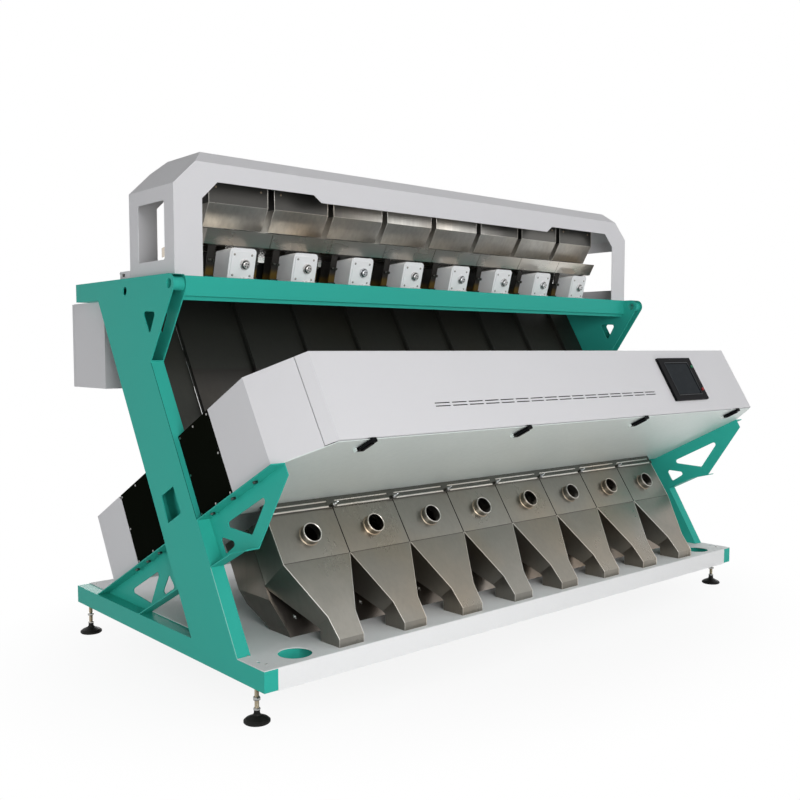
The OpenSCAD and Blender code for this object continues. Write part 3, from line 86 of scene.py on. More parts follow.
class Sock:
    """A shader socket that takes part in Python arithmetic."""

    def __init__(self, graph: "Graph", socket: Any) -> None:
        """Keeps the socket and the graph that it belongs to."""
        self.graph = graph
        self.socket = socket

    def _math(self, operation: str, a: Any, b: Any) -> "Sock":
        """Adds one Math node.

        Args:
            operation: Name of the Math node's operation.
            a: First value or socket.
            b: Second value or socket.

        Returns:
            The node's result.
        """
        return self.graph.add("ShaderNodeMath", {"operation": operation}, {0: a, 1: b})

    def __add__(self, other: Any) -> "Sock":
        """Sum."""
        return self._math("ADD", self, other)

    __radd__ = __add__

    def __sub__(self, other: Any) -> "Sock":
        """Difference."""
        return self._math("SUBTRACT", self, other)

    def __rsub__(self, other: Any) -> "Sock":
        """Difference from a number."""
        return self._math("SUBTRACT", other, self)

    def __mul__(self, other: Any) -> "Sock":
        """Product."""
        return self._math("MULTIPLY", self, other)

    __rmul__ = __mul__

    def highest(self, other: Any) -> "Sock":
        """Larger of two values."""
        return self._math("MAXIMUM", self, other)

    def clamp(self) -> "Sock":
        """Value held between 0 and 1."""
        return self.graph.add("ShaderNodeClamp", {}, {0: self})


class Graph:
    """Node graph of a material or of the world."""

    def __init__(self, owner: Any) -> None:
        """Empties the owner's nodes.

        Args:
            owner: The material or the world.
        """
        owner.use_nodes = True
        self.owner = owner
        self.tree = owner.node_tree
        self.tree.nodes.clear()

    @classmethod
    def of_material(cls, name: str) -> "Graph":
        """Graph of a new material."""
        return cls(bpy.data.materials.new(name))

    def add(self, kind: str, settings: dict[str, Any], inputs: dict[Any, Any], out: Any = 0) -> Sock:
        """Adds one node.

        Args:
            kind: Blender's type name of the node.
            settings: Properties that are set first; "stops" fills a colour ramp.
            inputs: Values or sockets by input name or number.
            out: Name or number of the output that is handed back.

        Returns:
            The chosen output.
        """
        node = self.tree.nodes.new(kind)
        for key, value in settings.items():
            if key == "stops":
                self._fill_ramp(node, value)
            else:
                setattr(node, key, value)
        for key, value in inputs.items():
            if isinstance(value, Sock):
                self.tree.links.new(value.socket, node.inputs[key])
            else:
                node.inputs[key].default_value = value
        return Sock(self, node.outputs[out]) if node.outputs else Sock(self, None)

    @staticmethod
    def _fill_ramp(node: Any, stops: Sequence[tuple[float, Sequence[float]]]) -> None:
        """Sets a ramp's stops.

        Args:
            node: The ramp.
            stops: Position and colour of each stop.
        """
        elements = node.color_ramp.elements
        while len(elements) < len(stops):
            elements.new(0.5)
        for element, (place, colour) in zip(elements, stops):
            element.position = place
            element.color = (*colour[:3], 1.0)

    def place(self, scale: Sequence[float] = (1, 1, 1), turn: Sequence[float] = (0, 0, 0)) -> Sock:
        """Object coordinates, scaled and turned.

        Args:
            scale: Scale along each axis.
            turn: Rotation in radians.

        Returns:
            The mapped coordinates.
        """
        coords = self.add("ShaderNodeTexCoord", {}, {}, "Object")
        return self.add("ShaderNodeMapping", {}, {"Vector": coords, "Rotation": turn, "Scale": scale})

    def noise(self, vector: Sock, scale: float, detail: float = 3.0, rough: float = 0.5) -> Sock:
        """Noise around a half.

        Args:
            vector: Coordinates.
            scale: Features per metre.
            detail: Octaves.
            rough: Weight of the fine octaves.

        Returns:
            The noise value.
        """
        inputs = {"Vector": vector, "Scale": scale, "Detail": detail, "Roughness": rough}
        return self.add("ShaderNodeTexNoise", {}, inputs, "Fac")

    def ramp(self, value: Sock, low: float, high: float) -> Sock:
        """Smooth step from 0 at low to 1 at high.

        Args:
            value: Input value.
            low: Where the step starts.
            high: Where the step ends.

        Returns:
            The stepped value.
        """
        return self.add(
            "ShaderNodeMapRange",
            {"interpolation_type": "SMOOTHSTEP"},
            {"Value": value, "From Min": low, "From Max": high},
        )

    def blend(self, factor: Any, a: Any, b: Any, mode: str = "MIX") -> Sock:
        """Mixes two colours.

        Args:
            factor: How much of the second colour.
            a: First colour or socket.
            b: Second colour or socket.
            mode: Blend mode.

        Returns:
            The mixed colour.
        """
        rgba = [(*c, 1.0) if isinstance(c, tuple) and len(c) == 3 else c for c in (a, b)]
        return self.add(
            "ShaderNodeMix",
            {"data_type": "RGBA", "blend_type": mode},
            {0: factor, 6: rgba[0], 7: rgba[1]},
            2,
        )

    def bump(self, height: Sock, distance: float, strength: float = 1.0) -> Sock:
        """Normal from a height.

        Args:
            height: Height value.
            distance: Height of 1, in metres.
            strength: How strongly it shows.

        Returns:
            The bumped normal.
        """
        inputs = {"Height": height, "Distance": distance, "Strength": strength}
        return self.add("ShaderNodeBump", {}, inputs, "Normal")

    def finish(self, **inputs: Any) -> bpy.types.Material:
        """Adds the surface shader and the output.

        Args:
            **inputs: Principled inputs, with spaces as underscores.

        Returns:
            The finished material.
        """
        named = {key.replace("_", " "): value for key, value in inputs.items()}
        for key, value in named.items():
            if isinstance(value, tuple) and len(value) == 3:
                named[key] = (*value, 1.0)
        shader = self.add("ShaderNodeBsdfPrincipled", {}, named, "BSDF")
        self.add("ShaderNodeOutputMaterial", {}, {"Surface": shader})
        return self.owner


@dataclass(frozen=True)
class PowderCoat:
    """Powder-coated sheet with fine orange peel, faint dust and soft tonal drift."""

    name: str
    colour: Colour
    dust: Colour = (0.62, 0.62, 0.6)
    roughness: float = 0.42
    peel: float = 0.00006
    drift: float = 0.05
    dust_amount: float = 0.06
    sheen: float = 0.16

    def make(self) -> bpy.types.Material:
        """Builds the material."""
        graph = Graph.of_material(self.name)
        place = graph.place()
        drift = graph.noise(place, 2.3, 4.0)
        fine = graph.noise(place, 620.0, 2.0)
        specks = graph.noise(place, 95.0, 5.0, 0.7)
        flecks = graph.ramp(specks, 0.5, 0.72) * self.dust_amount
        film = graph.ramp(drift, 0.45, 0.8) * self.dust_amount
        dusty = (flecks + film).clamp()
        toned = graph.blend(drift * self.drift * 2, self.colour, tuple(c * 0.82 for c in self.colour))
        colour = graph.blend(dusty, toned, self.dust)
        rough = self.roughness + (specks - 0.5) * 0.14 + dusty * 0.3
        normal = graph.bump(fine, self.peel, 0.6)
        return graph.finish(Base_Color=colour, Roughness=rough, Normal=normal, Specular_IOR_Level=self.sheen)


@dataclass(frozen=True)
class RolledSteel:
    """Bare sheet steel with a directional grain, broad warm clouds and soft streaks; with a fold, a painted
    reflection darkens the sheet above it.
    """

    name: str
    colour: Colour
    grain: Axis
    roughness: float = 0.3
    spread: float = 0.14
    cloud: float = 0.5
    metallic: float = 1.0
    streak: float = 0.18
    # fold, above and middle set a painted reflection: above the fold height the colour is scaled by above,
    # less so near middle along X.
    fold: float = 0.0
    above: float = 1.0
    middle: float = -0.1

    def _painted_reflection_share(self, graph: Graph) -> Sock:
        """Share of the painted reflection that darkens the upper sheet: above the fold, and less so towards
        the middle lanes.

        Args:
            graph: The material's graph.

        Returns:
            The share, from 0 to 1.
        """
        coords = graph.place()
        height = graph.add("ShaderNodeSeparateXYZ", {}, {0: coords}, "Z")
        along = graph.add("ShaderNodeSeparateXYZ", {}, {0: coords}, "X")
        away = (along - self.middle).highest(self.middle - along)
        return graph.ramp(height, self.fold - 0.002, self.fold + 0.002) * graph.ramp(away, 0.2, 0.7)

    def make(self) -> bpy.types.Material:
        """Builds the material."""
        graph = Graph.of_material(self.name)
        place = graph.place()
        lines = graph.noise(graph.place(self.grain.value), 520.0, 3.0, 0.65)
        broad = graph.noise(graph.place(self.grain.value), 60.0, 4.0, 0.6)
        cloud = graph.ramp(graph.noise(place, 3.4, 3.0, 0.5), 0.3, 0.7)
        warm = graph.ramp(graph.noise(place, 2.1, 2.0, 0.5), 0.4, 0.66)
        r, g, b = self.colour
        tinted = graph.blend(warm, self.colour, (r * 1.06, g * 0.97, b * 0.88))
        toned = graph.blend(cloud * self.cloud, tinted, (r * 0.66, g * 0.67, b * 0.68))
        colour = graph.blend((broad - 0.35).clamp() * self.streak * 2, toned, (r * 0.5, g * 0.5, b * 0.5))
        # Painted reflection: the sheet above the fold is darkened, less so towards the middle lanes.
        if self.fold > 0:
            upper = (r * self.above, g * self.above, b * self.above)
            colour = graph.blend(self._painted_reflection_share(graph), colour, upper)
        rough = self.roughness + (cloud - 0.5) * self.spread + (broad - 0.5) * 0.12
        normal = graph.bump(lines * 0.7 + broad * 0.3, 0.00002, 0.3)
        return graph.finish(Base_Color=colour, Roughness=rough, Normal=normal, Metallic=self.metallic)


@dataclass(frozen=True)
class ZincSheet:
    """Galvanised sheet with soft spangle and pale bloom."""

    name: str
    colour: Colour
    roughness: float = 0.46

    def make(self) -> bpy.types.Material:
        """Builds the material."""
        graph = Graph.of_material(self.name)
        place = graph.place()
        warp = graph.noise(place, 30.0, 3.0)
        inputs = {"Vector": place, "Scale": 62.0}
        cells = graph.add("ShaderNodeTexVoronoi", {"feature": "F1"}, inputs, "Color")
        spangle = graph.add("ShaderNodeSeparateColor", {}, {0: cells}, 0)
        bloom = graph.ramp(graph.noise(place, 3.2, 5.0), 0.35, 0.75)
        dull = tuple(c * 0.72 for c in self.colour)
        toned = graph.blend(spangle * 0.07 + warp * 0.06, self.colour, dull)
        colour = graph.blend(bloom * 0.2, toned, (0.8, 0.86, 0.84))
        rough = self.roughness + (spangle - 0.5) * 0.05 + (warp - 0.5) * 0.08
        normal = graph.bump(warp, 0.00004, 0.4)
        return graph.finish(Base_Color=colour, Roughness=rough, Normal=normal, Metallic=0.4)


@dataclass(frozen=True)
class Moulding:
    """Moulded plastic or rubber with a fine spark-eroded grain."""

    name: str
    colour: Colour
    roughness: float = 0.5
    grain: float = 900.0
    coat: float = 0.0
    sheen: float = 0.25

    def make(self) -> bpy.types.Material:
        """Builds the material."""
        graph = Graph.of_material(self.name)
        place = graph.place()
        grain = graph.noise(place, self.grain, 2.0)
        wear = graph.ramp(graph.noise(place, 42.0, 5.0, 0.7), 0.5, 0.8)
        worn = tuple(min(1.0, c * 1.6 + 0.02) for c in self.colour)
        colour = graph.blend(wear * 0.18, self.colour, worn)
        rough = self.roughness + (grain - 0.5) * 0.1 + wear * 0.1
        return graph.finish(
            Base_Color=colour,
            Roughness=rough,
            Normal=graph.bump(grain, 0.00004, 0.6),
            Coat_Weight=self.coat,
            Specular_IOR_Level=self.sheen,
        )


@dataclass(frozen=True)
class SpringLeaf:
    """Resin-bonded leaf: amber and bright at its foot, smoked dark further up."""

    name: str
    amber: Colour = (0.11, 0.066, 0.008)
    smoked: Colour = (0.014, 0.012, 0.01)
    low: float = 1.715
    high: float = 1.745

    def make(self) -> bpy.types.Material:
        """Builds the material."""
        graph = Graph.of_material(self.name)
        height = graph.add("ShaderNodeSeparateXYZ", {}, {0: graph.place()}, "Z")
        fibre = graph.noise(graph.place(Axis.Z.value), 260.0, 3.0)
        amber = graph.blend(fibre * 0.5, self.amber, tuple(c * 0.45 for c in self.amber))
        colour = graph.blend(graph.ramp(height, self.low, self.high), amber, self.smoked)
        rough = 0.34 + fibre * 0.2
        normal = graph.bump(fibre, 0.00005)
        return graph.finish(Base_Color=colour, Roughness=rough, Normal=normal, Specular_IOR_Level=0.3)


@dataclass(frozen=True)
class DarkGlass:
    """Smoked or clear pane with faint smears."""

    name: str
    colour: Colour
    alpha: float = 1.0
    sheen: float = 0.2

    def make(self) -> bpy.types.Material:
        """Builds the material."""
        graph = Graph.of_material(self.name)
        place = graph.place((1.0, 1.0, 1.6))
        smear = graph.ramp(graph.noise(place, 16.0, 6.0, 0.7), 0.42, 0.8)
        greasy = tuple(min(1.0, c * 1.5 + 0.04) for c in self.colour)
        colour = graph.blend(smear * 0.12, self.colour, greasy)
        return graph.finish(
            Base_Color=colour,
            Roughness=0.1 + smear * 0.16,
            Alpha=self.alpha,
            Specular_IOR_Level=self.sheen,
        )


class Finishes:
    """Every finish of the machine, made once: one for each slot of the record and a few of their own."""

    def __init__(self) -> None:
        """Makes the materials."""
        plans = (
            PowderCoat("green_paint", (0.036, 0.45, 0.368), (0.1, 0.47, 0.4), dust_amount=0.05, sheen=0.08),
            PowderCoat("white_paint", (0.73, 0.725, 0.745), roughness=0.5, drift=0.03),
            # Painted light: a lighter copy of the white paint for the brightly lit fascia.
            PowderCoat("fascia_lit_white", (0.9, 0.9, 0.905), roughness=0.5, drift=0.03),
            PowderCoat("deck_sheet", (0.82, 0.825, 0.83), (0.7, 0.7, 0.68), roughness=0.55, sheen=0.04),
            ZincSheet("zinc_sheet", (0.76, 0.82, 0.795)),
            PowderCoat("cover_white", (0.88, 0.88, 0.89), roughness=0.4, drift=0.03, dust_amount=0.03),
            # Painted shade: dark green for the upper leg edges.
            PowderCoat("edge_shade_green", (0.008, 0.1, 0.08), (0.05, 0.2, 0.17), roughness=0.5, sheen=0.05),
            # Painted highlight: pale green for the lower leg edges.
            PowderCoat("edge_highlight_green", (0.32, 0.66, 0.59), (0.4, 0.7, 0.64), roughness=0.34),
            PowderCoat("black_paint", (0.005, 0.006, 0.004), (0.02, 0.02, 0.02), roughness=0.6, sheen=0.0),
            Moulding("black_plastic", (0.005, 0.005, 0.006), roughness=0.42, sheen=0.04),
            Moulding("foot_black", (0.008, 0.008, 0.007), roughness=0.5, sheen=0.15),
            RolledSteel("stainless", (0.26, 0.249, 0.222), Axis.Z, roughness=0.33),
            # Painted reflection: fold=2.0 and above=0.17 darken the upper hopper sheet.
            RolledSteel("hopper_steel", (0.45, 0.438, 0.41), Axis.Z, 0.4, streak=0.5, fold=2.0, above=0.17),
            RolledSteel("tray_steel", (0.6, 0.585, 0.545), Axis.X, roughness=0.28, cloud=0.35),
            RolledSteel("rail_steel", (0.12, 0.12, 0.11), Axis.X, roughness=0.3),
            RolledSteel("chute_dark", (0.022, 0.024, 0.019), Axis.Z, roughness=0.56, metallic=0.3),
            RolledSteel("chute_grey", (0.042, 0.04, 0.036), Axis.Z, roughness=0.42, metallic=0.6),
            RolledSteel("rear_outlet", (0.2, 0.18, 0.16), Axis.Z, roughness=0.36),
            DarkGlass("screen_glass", (0.016, 0.02, 0.024), sheen=0.03),
            DarkGlass("window_glass", (0.4, 0.48, 0.48), alpha=0.35),
            Moulding("green_plastic", (0.01, 0.16, 0.07), roughness=0.35),
            Moulding("red_plastic", (0.3, 0.012, 0.012), roughness=0.35),
            Moulding("camera_black", (0.02, 0.02, 0.022), roughness=0.4),
            RolledSteel("lamp", (0.7, 0.72, 0.74), Axis.X, roughness=0.35),
            SpringLeaf("spring_leaf"),
            PowderCoat("shelf_dark", (0.012, 0.013, 0.012), (0.06, 0.06, 0.06), 0.5, sheen=0.08),
            RolledSteel("fastener", (0.4, 0.4, 0.39), Axis.Z, roughness=0.32),
            RolledSteel("bolt_dark", (0.07, 0.075, 0.07), Axis.Z, roughness=0.4),
            # Painted shade: dark beads in the gaps between the outlets.
            Moulding("gap_shade_dark", (0.012, 0.011, 0.01), roughness=0.6, sheen=0.05),
            RolledSteel("crease_dark", (0.075, 0.07, 0.062), Axis.X, roughness=0.4),
            Moulding("trim_grey", (0.05, 0.056, 0.06), roughness=0.35, sheen=0.2),
            # Painted highlight: lighter steel for the weld beads on the hopper edges.
            RolledSteel("hopper_edge_highlight", (0.4, 0.39, 0.365), Axis.Z, roughness=0.34, cloud=0.3),
            # Painted highlight: a lighter copy of the stainless for the outlet welds, port rims and rail
            # ridges.
            RolledSteel("highlight_steel", (0.62, 0.6, 0.56), Axis.Z, roughness=0.34, cloud=0.3),
            RolledSteel("weld_tint", (0.3, 0.25, 0.19), Axis.Z, roughness=0.42, cloud=0.6),
            RolledSteel("stem_zinc", (0.42, 0.36, 0.26), Axis.Z, roughness=0.36),
            RolledSteel("aluminium", (0.6, 0.62, 0.64), Axis.X, roughness=0.35),
        )
        self.by_name = {plan.name: plan.make() for plan in plans}

    def __getitem__(self, name: str) -> bpy.types.Material:
        """Material of a finish."""
        return self.by_name[name]


@dataclass
class Studio:
    """Floor, light and the camera that stands where the photograph was taken."""

    camera_place: Triple = (-3.405, -3.61, 1.37)
    yaw: float = 41.35
    pitch: float = 4.0
    lens: float = 42.27
    sensor: float = 36.0
    shift: float = 0.0191
    fill: float = 0.16
    floor_half: float = 30.0
    floor_squeeze: Triple = (0.75, 1.0, 1.0)
    near_white: float = 0.88
    fade_from: float = 0.9
    fade_to: float = 1.9

    def build(self) -> None:
        """Makes the whole studio."""
        self._world()
        self._floor()
        self._lamps()
        self._camera()

    def _world(self) -> None:
        """White surroundings for the camera and reflections, a gentler fill for the rest."""
        world = bpy.data.worlds.new("studio")
        bpy.context.scene.world = world
        graph = Graph(world)
        kinds = ("Is Camera Ray", "Is Glossy Ray", "Is Transmission Ray")
        direct, mirrored, through = (graph.add("ShaderNodeLightPath", {}, {}, kind) for kind in kinds)
        seen = direct.highest(mirrored.highest(through))
        cool, bright = (0.97, 0.985, 1.0, 1.0), (1.0, 1.0, 1.0, 1.0)
        fill = graph.add("ShaderNodeBackground", {}, {"Color": cool, "Strength": self.fill})
        white = graph.add("ShaderNodeBackground", {}, {"Color": bright, "Strength": 1.0})
        mixed = graph.add("ShaderNodeMixShader", {}, {0: seen, 1: fill, 2: white})
        graph.add("ShaderNodeOutputWorld", {}, {"Surface": mixed})

    def _floor(self) -> None:
        """Pale floor that fades into the white backdrop and keeps a soft shadow."""
        mesh = bpy.data.meshes.new("floor")
        bm = bmesh.new()
        bmesh.ops.create_grid(bm, x_segments=1, y_segments=1, size=self.floor_half)
        bm.to_mesh(mesh)
        bm.free()
        floor = bpy.data.objects.new("floor", mesh)
        bpy.context.collection.objects.link(floor)
        graph = Graph.of_material("floor")
        seen = graph.add("ShaderNodeLightPath", {}, {}, "Is Camera Ray").highest(
            graph.add("ShaderNodeLightPath", {}, {}, "Is Glossy Ray")
        )
        place = graph.place(self.floor_squeeze)
        reach = graph.add("ShaderNodeVectorMath", {"operation": "LENGTH"}, {0: place}, "Value")
        white = self.near_white + graph.ramp(reach, self.fade_from, self.fade_to) * (1.0 - self.near_white)
        matt = graph.add("ShaderNodeBsdfDiffuse", {}, {"Color": (0.86, 0.86, 0.86, 1.0)})
        glow = graph.add("ShaderNodeEmission", {}, {"Color": (1.0, 1.0, 1.0, 1.0), "Strength": 1.0})
        mixed = graph.add("ShaderNodeMixShader", {}, {0: seen * white, 1: matt, 2: glow})
        graph.add("ShaderNodeOutputMaterial", {}, {"Surface": mixed})
        mesh.materials.append(graph.owner)

    def _lamps(self) -> None:
        """Large soft lamps: key and bank in front, one on either side, one behind and one at the far end."""
        self._area("key", (-3.0, -6.3, 2.0), (0.0, -0.3, 1.0), 3.0, 226.0)
        self._area("bank", (1.0, -3.8, 4.6), (0.2, -0.4, 0.8), 3.0, 30.0)
        self._area("left", (-6.2, 0.0, 0.7), (-1.4, 0.1, 1.5), 2.0, 58.0)
        self._area("right", (4.4, -4.2, 2.7), (0.4, 0.0, 1.7), 1.8, 34.0)
        self._area("back", (1.6, 6.4, 2.0), (0.0, 0.3, 1.0), 3.0, 150.0)
        self._area("far_side", (6.4, 1.2, 1.4), (1.4, 0.1, 1.2), 2.4, 60.0)

    @staticmethod
    def _area(name: str, place: Triple, target: Triple, size: float, power: float) -> None:
        """Adds one square area lamp.

        Args:
            name: The lamp's name.
            place: Where it stands.
            target: What it points at.
            size: Side length in metres.
            power: Power in watts.
        """
        data = bpy.data.lights.new(name, "AREA")
        data.shape = "SQUARE"
        data.size = size
        data.energy = power
        lamp = bpy.data.objects.new(name, data)
        lamp.location = place
        lamp.rotation_euler = (Vector(target) - Vector(place)).to_track_quat("-Z", "Y").to_euler()
        bpy.context.collection.objects.link(lamp)

    def _camera(self) -> None:
        """Adds the camera."""
        data = bpy.data.cameras.new("camera")
        data.lens = self.lens
        data.sensor_width = self.sensor
        data.shift_y = self.shift
        data.clip_end = 100.0
        camera = bpy.data.objects.new("camera", data)
        camera.location = self.camera_place
        camera.rotation_euler = (math.radians(90.0 - self.pitch), 0.0, math.radians(-self.yaw))
        bpy.context.collection.objects.link(camera)
        bpy.context.scene.camera = camera


@dataclass(frozen=True)
class Lean:
    """Side view of the leaning machine: lengths up the legs, reaches along the brackets, in millimetres."""

    leg_angle: float = 59.3
    flange_angle: float = 27.0
    foot_y: float = -470.0
    rail_top: float = 220.0

    def point(self, x: float, s: float, w: float) -> Vector:
        """Place of a point.

        Args:
            x: Place along the machine.
            s: Length up the legs from the rails.
            w: Reach forward along the brackets.

        Returns:
            The point.
        """
        leg, flange = math.radians(self.leg_angle), math.radians(self.flange_angle)
        y = self.foot_y + s * math.cos(leg) - w * math.cos(flange)
        return Vector((x, y, self.rail_top + s * math.sin(leg) + w * math.sin(flange)))

    def on_leg(self, x: float, s: float, w: float) -> Matrix:
        """Frame whose Z runs up the leg and whose Y runs back, square to it."""
        return Matrix.Translation(self.point(x, s, w)) @ turn(self.leg_angle - 90, "X")


class Shape:
    """A mesh that grows from bmesh operators, in millimetres until it becomes a piece."""

    def __init__(self) -> None:
        """Starts empty."""
        self.bm = bmesh.new()

    def _take(self, part: bmesh.types.BMesh, at: Matrix) -> None:
        """Carries a part to its place and adds it.

        Args:
            part: The part, freed afterwards.
            at: Where it goes.
        """
        bmesh.ops.transform(part, matrix=at, verts=part.verts)
        bmesh.ops.recalc_face_normals(part, faces=part.faces)
        mesh = bpy.data.meshes.new("part")
        part.to_mesh(mesh)
        part.free()
        self.bm.from_mesh(mesh)
        bpy.data.meshes.remove(mesh)

    @staticmethod
    def _round(part: bmesh.types.BMesh, edges: Sequence[Any], offset: float, segments: int) -> None:
        """Rounds or chamfers edges.

        Args:
            part: The part that has them.
            edges: The edges.
            offset: Width of the bevel.
            segments: Its steps: 1 for a chamfer.
        """
        bmesh.ops.bevel(
            part,
            geom=edges,
            offset=offset,
            segments=segments,
            profile=0.5,
            affect="EDGES",
            material=-1,
            clamp_overlap=True,
        )

    @staticmethod
    def _lift(part: bmesh.types.BMesh, height: float) -> None:
        """Draws a flat part up to a height.

        Args:
            part: The part, a single face so far.
            height: How far its upper face goes.
        """
        grown = bmesh.ops.extrude_face_region(part, geom=part.faces[:])["geom"]
        upper = [item for item in grown if isinstance(item, bmesh.types.BMVert)]
        bmesh.ops.translate(part, vec=(0, 0, height), verts=upper)

    def bar(self, size: Sequence[float], at: Matrix, bevel: float = 0.6) -> None:
        """Bar with rounded edges.

        Args:
            size: Width, depth and height.
            at: Frame of its middle.
            bevel: Radius of the edges.
        """
        part = bmesh.new()
        bmesh.ops.create_cube(part, size=1.0)
        bmesh.ops.scale(part, vec=Vector(size), verts=part.verts)
        self._round(part, part.edges, bevel, 2)
        self._take(part, at)

    def turned(self, profile: Profile, at: Matrix, steps: int = 24) -> None:
        """Turned part.

        Args:
            profile: Radius and height of each point, in order.
            at: Frame whose Z is the axis.
            steps: Steps round the axis.
        """
        part = bmesh.new()
        points = [part.verts.new((radius, 0.0, height)) for radius, height in profile]
        edges = [part.edges.new(pair) for pair in zip(points, points[1:])]
        bmesh.ops.spin(
            part,
            geom=points + edges,
            cent=(0, 0, 0),
            axis=(0, 0, 1),
            angle=math.tau,
            steps=steps,
            use_merge=True,
        )
        bmesh.ops.remove_doubles(part, verts=part.verts, dist=0.001)
        bmesh.ops.dissolve_degenerate(part, edges=part.edges, dist=0.001)
        self._take(part, at)

    def hexagon(self, flats: float, height: float, at: Matrix, bevel: float = 0.8) -> None:
        """Hexagon nut or head.

        Args:
            flats: Width over the flats.
            height: Its height.
            at: Frame of the middle of its base.
            bevel: Chamfer of its rims.
        """
        part = bmesh.new()
        bmesh.ops.create_circle(part, cap_ends=True, segments=6, radius=flats / math.sqrt(3))
        self._lift(part, height)
        rims = [e for e in part.edges if abs(e.verts[0].co.z - e.verts[1].co.z) < 1e-6]
        bmesh.ops.bevel(part, geom=rims, offset=bevel, segments=1, profile=0.5, affect="EDGES", material=-1)
        self._take(part, at)

    def bead(self, points: Sequence[Vector], radius: float, sides: int = 6) -> None:
        """Round bead along a line of points.

        Args:
            points: The line.
            radius: Radius of the bead.
            sides: Sides of its section.
        """
        part = bmesh.new()
        heading = (points[1] - points[0]).to_track_quat("Z", "Y").to_matrix().to_4x4()
        start = Matrix.Translation(points[0]) @ heading
        circle = bmesh.ops.create_circle(part, cap_ends=True, segments=sides, radius=radius, matrix=start)
        ring = circle["verts"]
        edges = [e for e in part.edges if all(v in ring for v in e.verts)]
        for here, there in zip(points, points[1:]):
            grown = bmesh.ops.extrude_edge_only(part, edges=edges)["geom"]
            moved = [g for g in grown if isinstance(g, bmesh.types.BMVert)]
            edges = [g for g in grown if isinstance(g, bmesh.types.BMEdge)]
            bmesh.ops.translate(part, vec=there - here, verts=moved)
        bmesh.ops.holes_fill(part, edges=edges, sides=0)
        self._take(part, Matrix.Identity(4))

    def plate(self, outline: Profile, depth: float, at: Matrix, bevel: float) -> None:
        """Flat plate with a given outline.

        Args:
            outline: Corners in the frame's X and Y.
            depth: Thickness along the frame's Z.
            at: The frame.
            bevel: Radius of its edges.
        """
        part = bmesh.new()
        part.faces.new([part.verts.new((x, y, 0.0)) for x, y in outline])
        self._lift(part, depth)
        self._round(part, part.edges, bevel, 1)
        self._take(part, at)

    def pan_screw(self, size: float, at: Matrix) -> None:
        """Domed screw head with a recess.

        Args:
            size: Head diameter.
            at: Frame whose Z points out of the sheet.
        """
        r = size / 2
        recess = [(0, r * 0.22), (r * 0.34, r * 0.25)]
        dome = [(r * 0.38, r * 0.5), (r * 0.75, r * 0.38), (r, 0.0)]
        self.turned(recess + dome, at, 16)

    def piece(self, name: str, body: str, slot: str, finishes: Finishes, finish: str = "") -> None:
        """Turns the mesh into a piece of the machine.

        Args:
            name: Piece name.
            body: Body that it rides on.
            slot: The record's material slot.
            finishes: All finishes.
            finish: Its own finish, where it differs from the slot's.
        """
        bmesh.ops.scale(self.bm, vec=Vector((MM, MM, MM)), verts=self.bm.verts)
        mesh = bpy.data.meshes.new(name)
        self.bm.to_mesh(mesh)
        self.bm.free()
        mesh.shade_smooth()
        mesh.set_sharp_from_angle(angle=math.radians(SHARP_ANGLE))
        mesh.materials.append(finishes[finish or slot])
        item = bpy.data.objects.new(name, mesh)
        bpy.context.scene.collection.objects.link(item)
        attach(item, body)
        LOG.info("built %s on %s", name, body)


@dataclass
class Lanes:
    """Places of the eight lanes along the machine."""

    count: int = 8
    pitch: float = 336.0

    def middles(self) -> list[float]:
        """Middle of each lane."""
        return [(i - (self.count - 1) / 2) * self.pitch for i in range(self.count)]

    def seams(self) -> list[float]:
        """Line between each two lanes."""
        return [(i - self.count / 2) * self.pitch for i in range(1, self.count)]


